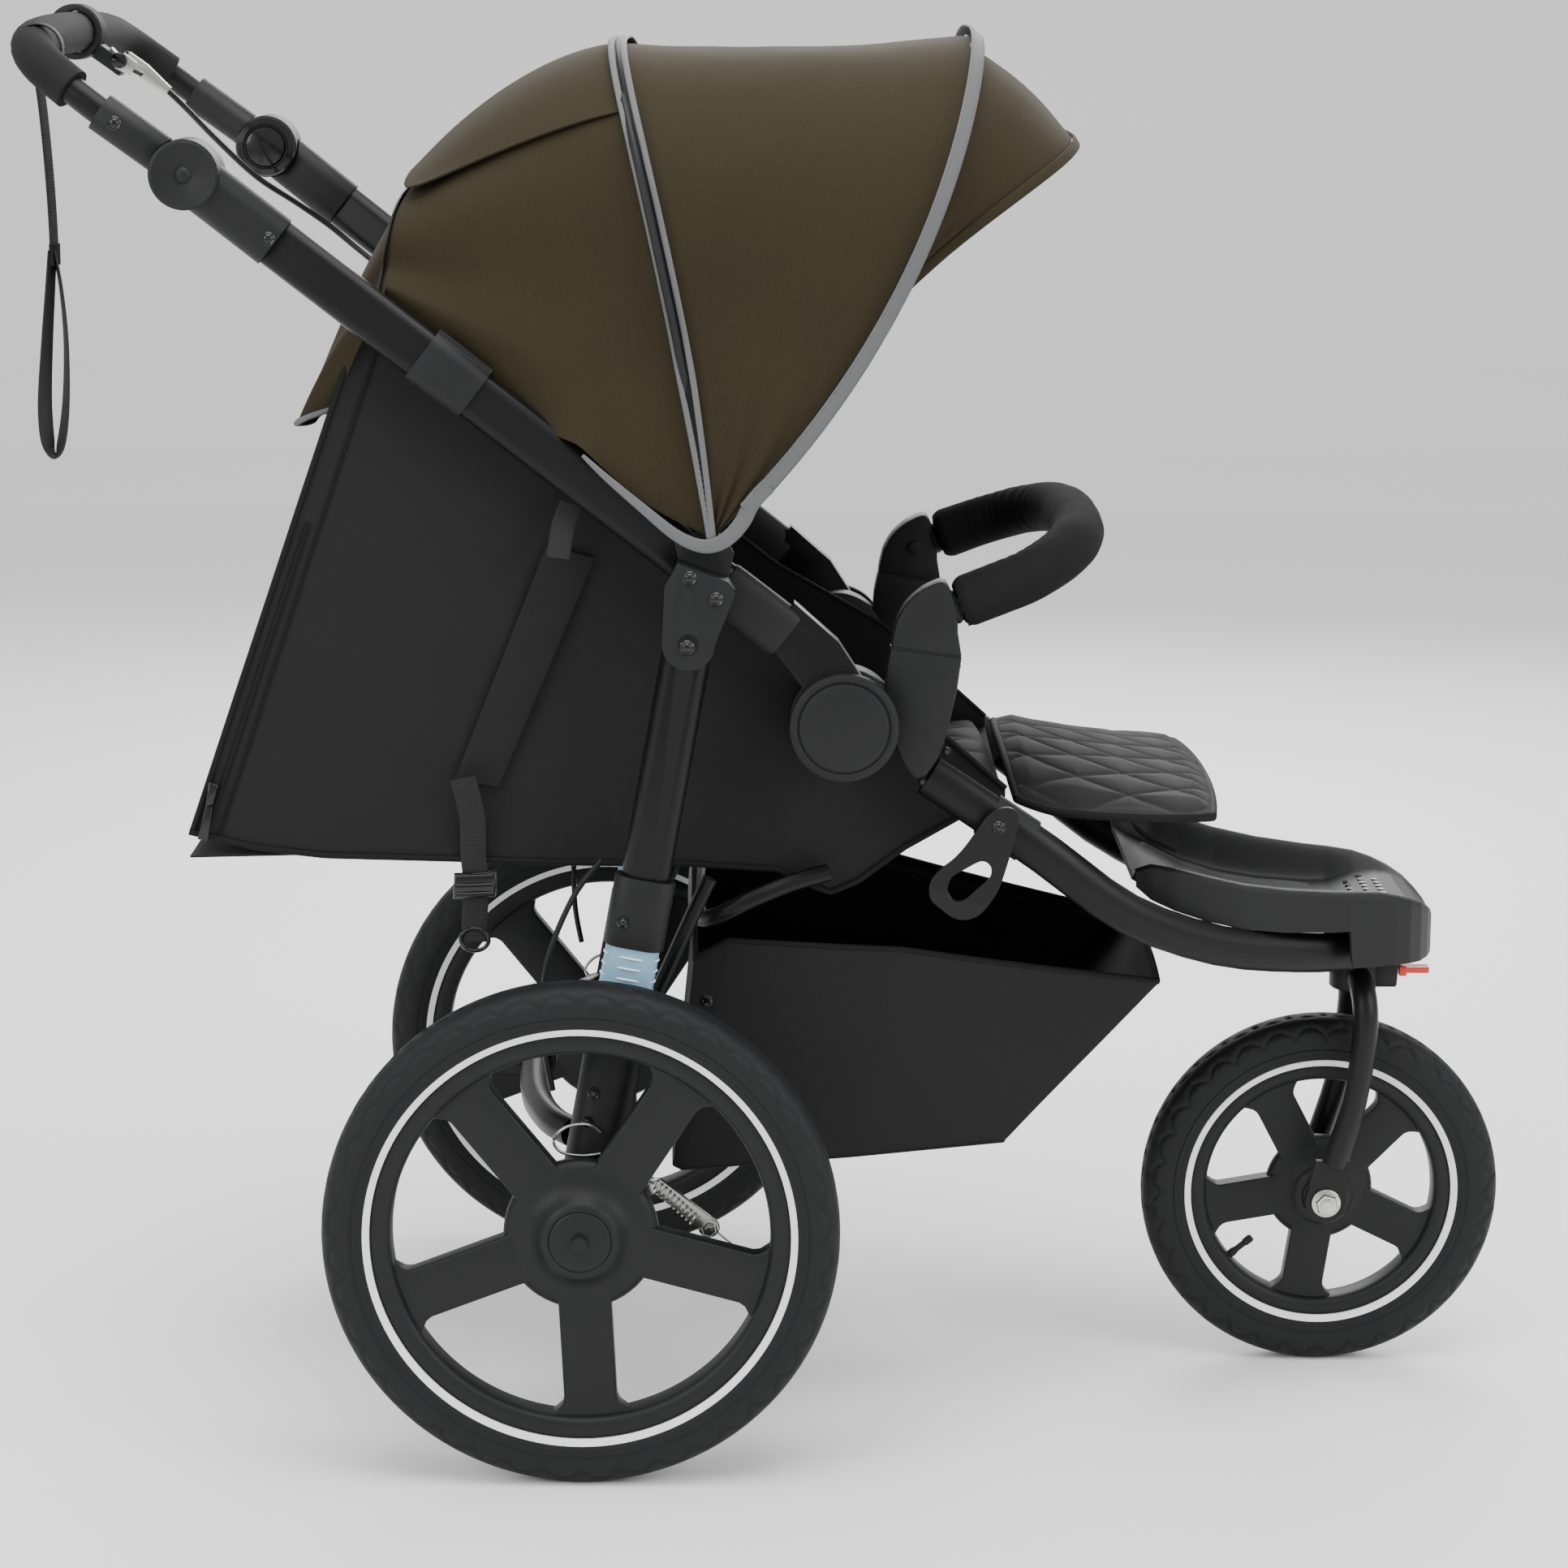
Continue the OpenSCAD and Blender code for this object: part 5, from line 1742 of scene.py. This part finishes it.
@dataclass
class HandleAndBrakes:
    """The wrist strap, brake details, fork nuts and the lock block."""

    def build(self) -> None:
        """Build the small parts."""
        self._strap()
        self._clamp()
        self._springs()
        self._fork()

    def _strap(self) -> None:
        """Build the wrist strap: a straight piece of webbing and its sewn loop."""
        run = [(-412, -196, 1086), (-407.5, -196.2, 1079), (-404.5, -196.5, 1062), (-402, -197, 1035), (-400, -197.4, 1005), (-398.6, -197.8, 975), (-398, -198, 950), (-398, -198, 935)]
        path = smooth_path(run, 5)
        shape = bmesh.new()
        sweep(shape, path, mm(6.2), mm(0.8), lambda i: Vector((1, -0.35, 0)), 16, 0.45)
        strap = Maker.publish(shape, "wrist_strap_webbing", WEBBING, "handlebar", 60)
        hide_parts("wrist_strap")
        loop = [(-398, -198, 945), (-393.5, -198.4, 915), (-391, -199, 875), (-392.5, -199.6, 830), (-397, -200, 799), (-402, -200, 789)]
        loop += [(-407, -200, 799), (-408.5, -199.6, 830), (-405.5, -199, 875), (-402, -198.4, 915), (-399.4, -198, 945)]
        band = bmesh.new()
        sweep(band, smooth_path(loop, 8), mm(6.2), mm(0.8), lambda i: Vector((0, 0.3, 0)) + self._loop_up(i, len(loop) * 8), 16, 0.45)
        eye = Maker.publish(band, "wrist_strap_loop", WEBBING, "handlebar", 60)
        tack = bmesh.new()
        sweep(tack, [at(-397.6, -198.1, z) for z in (950, 942, 934)], mm(6.6), mm(2.0), lambda i: Vector((1, -0.35, 0)), 12, 0.5)
        stitch = Maker.publish(tack, "wrist_strap_tack", BINDING, "handlebar", 60)
        length = sum((b - a).length for a, b in zip(path, path[1:]))
        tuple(path[0])
        [list(p) for p in path]
        collar = bmesh.new()
        ring = [at(-405 + 17.6 * math.cos(a), -196, 1095 + 17.6 * math.sin(a)) for a in [k * math.tau / 40 for k in range(41)]]
        sweep(collar, ring, mm(6.2), mm(0.9), lambda i: (ring[i] - at(-405, -196, 1095)).normalized(), 12, 0.5, closed=True)
        Maker.publish(collar, "wrist_strap_grip_turn", WEBBING, "handlebar", 60)

    @staticmethod
    def _loop_up(i: int, count: int) -> Vector:
        """The webbing's flat side, which turns with the loop."""
        t = i / count
        return Vector((1, 0, 0)) * (1 - 2 * t) + Vector((0, 0, -2)) * math.exp(-(((t - 0.5) / 0.12) ** 2))

    def _clamp(self) -> None:
        """Build the ribbed clamp, the lever's lock and the end of the cable."""
        shape = bmesh.new()
        for k in range(7):
            y = 20 - 3.4 * k
            lathe(shape, at(-412, y, 1104), [(17, 0), (21.6, 0), (22.0, 1.0), (21.6, 2.0), (17, 2.0), (17, 0)], steps=48)
        Maker.publish(shape, "brake_clamp_ribs", MOULDING, "handlebar", 45)
        lock = bmesh.new()
        plate(lock, [(-392, 1080), (-380, 1070), (-372, 1078), (-384, 1092)], 2, 18, 1.6, 2)
        lathe(lock, at(-376, -7.6, 1082), [(0, 0), (6.2, 0), (6.4, 1.4), (4.4, 2.6), (0, 2.9)], Vector((0, -1, 0)), 24)
        lathe(lock, at(-376, 27, 1082), [(0, 0), (6.2, 0), (6.4, 1.4), (4.4, 2.6), (0, 2.9)], Vector((0, 1, 0)), 24)
        Maker.publish(lock, "brake_lever_lock", GLOSS, "handlebar", 45)
        ferrule = bmesh.new()
        path = [at(-372, 10, 1076), at(-366, 20, 1072), at(-358, 31, 1069)]
        sweep(ferrule, path, mm(3.4), mm(3.4), sides=16)
        Maker.publish(ferrule, "brake_cable_ferrule", STEEL, "handlebar", 45)

    def _springs(self) -> None:
        """Build the brake return springs, pinch bolts and inner cables."""
        coil, bolt, wire = bmesh.new(), bmesh.new(), bmesh.new()
        for side, _ in SIDES:
            a, b = Vector((56, 0, 229)), Vector((88, 0, 199))
            ahead = (b - a).normalized()
            up = Vector((0, 1, 0))
            across = ahead.cross(up)
            path = []
            for k in range(221):
                turn = k * math.tau * 10 / 220
                p = a + (b - a) * k / 220 + (up * math.sin(turn) + across * math.cos(turn)) * 4.3
                path.append(at(p.x, side * (254 + p.y), p.z))
            sweep(coil, path, mm(0.9), mm(0.9), sides=6)
            lathe(bolt, at(98, side * 253, 193), [(0, 0), (5.6, 0), (6.0, 0.8), (6.0, 3.6), (5.4, 4.4), (3.2, 4.6), (3.0, 6.4), (0, 6.6)], Vector((0, side, 0)), 6)
            lathe(bolt, at(98, side * 249, 193), [(7.5, 0), (8.6, 0), (8.6, 1.2), (7.5, 1.2), (7.5, 0)], Vector((0, side, 0)), 24)
            path = smooth_path(mirrored([(98, 255, 196), (112, 255, 184), (128, 254, 170), (142, 252, 160)], side), 6)
            sweep(wire, path, mm(0.8), mm(0.8), sides=6)
        Maker.publish(coil, "brake_return_springs", STEEL, "rear_axle", 60)
        Maker.publish(bolt, "brake_pinch_bolts", STEEL, "rear_axle", 40)
        Maker.publish(wire, "brake_inner_wires", STEEL, "rear_axle", 60)
        housing = bmesh.new()
        for side, _ in SIDES:
            path = smooth_path(mirrored([(-24, 238, 300), (-30, 238, 340), (-28, 238, 400), (-8, 232, 452), (14, 222, 480)], side), 6)
            sweep(housing, path, mm(2.4), mm(2.4), sides=10)
        Maker.publish(housing, "brake_hub_cables", CABLE, "rear_axle", 60)

    def _fork(self) -> None:
        """Build the axle nuts, washers, crown and lock block."""
        nuts = bmesh.new()
        for side, _ in SIDES:
            y = side * 50
            out = Vector((0, side, 0))
            lathe(nuts, at(610, y, 150), [(0, -1), (11.5, -1), (12, 0.6), (10.6, 1.4), (0, 1.4)], out, 32)
            lathe(nuts, at(610, y, 150), [(0, 0), (9.2, 0), (9.6, 1.2), (9.6, 5.4), (8.8, 6.6), (4.6, 6.8), (4.4, 8.6), (0, 9)], out, 6)
        Maker.publish(nuts, "front_axle_nuts", STEEL, "fork", 40)
        crown = bmesh.new()
        lathe(crown, at(634, 0, 324), [(0, 0), (18.4, 0), (20.4, 2), (20.6, 22), (18.6, 25), (0, 25.4)], Vector((0, 0, 1)), 48)
        plate(crown, [(650, 326), (669, 327), (670, 346), (664, 350), (650, 350)], -9.5, 9.5, 1.8, 2)
        Maker.publish(crown, "fork_crown_and_lock_block", MOULDING, "fork", 45)


# ---- studio -----------------------------------------------------------------


@dataclass
class Studio:
    """Camera, floor and lights."""

    focal: float = 89.7
    place: tuple[float, float, float] = (141.4, -3169.4, 1152.3)
    pitch: float = 0.2045
    yaw: float = 0.0046
    roll: float = 0.0054

    def build(self) -> None:
        """Set the studio."""
        self._camera()
        self._floor()
        self._lights()

    def _camera(self) -> None:
        """Place the camera."""
        data = bpy.data.cameras.new("camera")
        data.lens, data.sensor_width = self.focal, 36.0
        data.clip_start, data.clip_end = 0.05, 60.0
        cam = bpy.data.objects.new("camera", data)
        bpy.context.scene.collection.objects.link(cam)
        ahead = Vector(
            (math.sin(self.yaw) * math.cos(self.pitch), math.cos(self.yaw) * math.cos(self.pitch), -math.sin(self.pitch))
        )
        right = Vector((math.cos(self.yaw), -math.sin(self.yaw), 0))
        up = right.cross(ahead)
        c, s = math.cos(self.roll), math.sin(self.roll)
        turned = Matrix((right * c + up * s, up * c - right * s, -ahead)).transposed().to_4x4()
        cam.matrix_world = Matrix.Translation(at(*self.place)) @ turned
        bpy.context.scene.camera = cam

    def _floor(self) -> None:
        """Lay the pale floor and light the room evenly."""
        shape = bmesh.new()
        surface(shape, 4, 48, self._sweep)
        mesh = bpy.data.meshes.new("floor")
        shape.to_mesh(mesh)
        shape.free()
        paint = bpy.data.materials.new("pale_floor")
        paint.use_nodes = True
        paint.node_tree.nodes["Principled BSDF"].inputs["Base Color"].default_value = (0.9, 0.9, 0.9, 1)
        paint.node_tree.nodes["Principled BSDF"].inputs["Roughness"].default_value = 0.7
        mesh.materials.append(paint)
        floor = bpy.data.objects.new("floor", mesh)
        bpy.context.scene.collection.objects.link(floor)
        world = bpy.data.worlds.new("room")
        world.use_nodes = True
        world.node_tree.nodes["Background"].inputs["Color"].default_value = (1, 1, 1, 1)
        world.node_tree.nodes["Background"].inputs["Strength"].default_value = 0.85
        bpy.context.scene.world = world

    @staticmethod
    def _sweep(u: float, v: float) -> Vector:
        """A point of the floor, which curves up far behind the stroller."""
        run = v * 19.0 - 9.0
        bend = min(max(run - 5.0, 0.0), math.pi)
        lift = 2.0 * (1 - math.cos(bend / 2)) + max(0.0, run - 5.0 - math.pi)
        return Vector(((u - 0.5) * 26, min(run, 5.0) + 2.0 * math.sin(bend / 2), lift))

    def _lights(self) -> None:
        """Place the soft boxes."""
        boxes = (
            ("top_box", (0.0, -0.6, 3.4), (0, 0, 0.5), 2.6, 125.0), ("left_box", (-2.6, -2.4, 2.0), (0, 0, 0.5), 1.8, 60.0),
            ("right_box", (2.8, -1.8, 1.8), (0, 0, 0.5), 1.8, 55.0), ("rear_box", (0.4, 2.8, 2.2), (0, 0, 0.6), 2.2, 90.0),
        )
        for name, place, target, size, power in boxes:
            data = bpy.data.lights.new(name, "AREA")
            data.shape, data.size, data.energy = "SQUARE", size, power
            lamp = bpy.data.objects.new(name, data)
            lamp.location = place
            lamp.rotation_mode = "QUATERNION"
            lamp.rotation_quaternion = (Vector(target) - Vector(place)).to_track_quat("-Z", "Y")
            bpy.context.scene.collection.objects.link(lamp)


def main() -> None:
    """Load the frame and build every sub-assembly in order."""
    logging.basicConfig(level=logging.INFO, format="%(name)s %(message)s")
    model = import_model()
    Dresser.model = model
    Studio().build()
    rear_bands = dict(radius=200, width=44, band=162, ring_in=146, spoke=20.5, hub=40, reach=25, cap=24, turn=57)
    Wheel("rear_right", "rear_wheel_right", ("rear_tyre_right", "rear_rim_right"), 0, -287, 200, -1, **rear_bands).build()
    Wheel("rear_left", "rear_wheel_left", ("rear_tyre_left", "rear_rim_left"), 0, 287, 200, 1, **rear_bands).build()
    Wheel(
        "front", "front_wheel", ("front_tyre", "front_rim"), 610, 0, 150, -1, radius=150, width=42, band=109.5,
        ring_in=96, spoke=17, hub=25, reach=32, cap=17, turn=46, scales=32, valve=220,
    ).build()
    Frame().build()
    Tray().build()
    Bumper().build()
    Basket().build()
    SeatTub().build()
    Padding().build()
    rear = Arch((-150, 906), (-137, 990), 200, 232, 0.35, 0)
    middle = Arch((98, 737), (22, 1098), 243, 252, 0.45, 6)
    front = Arch((101, 737), (299, 1105), 249, 253, 0.45, 34)
    brow = Arch((222, 905), (303, 1096), 233, 236, 0.35, 8)
    visor = Arch((222, 902), (382, 1026), 218, 236, 0.35, -6)
    Canopy(rear, middle, front, brow, visor).build()
    HandleAndBrakes().build()


if __name__ == "__main__":
    main()
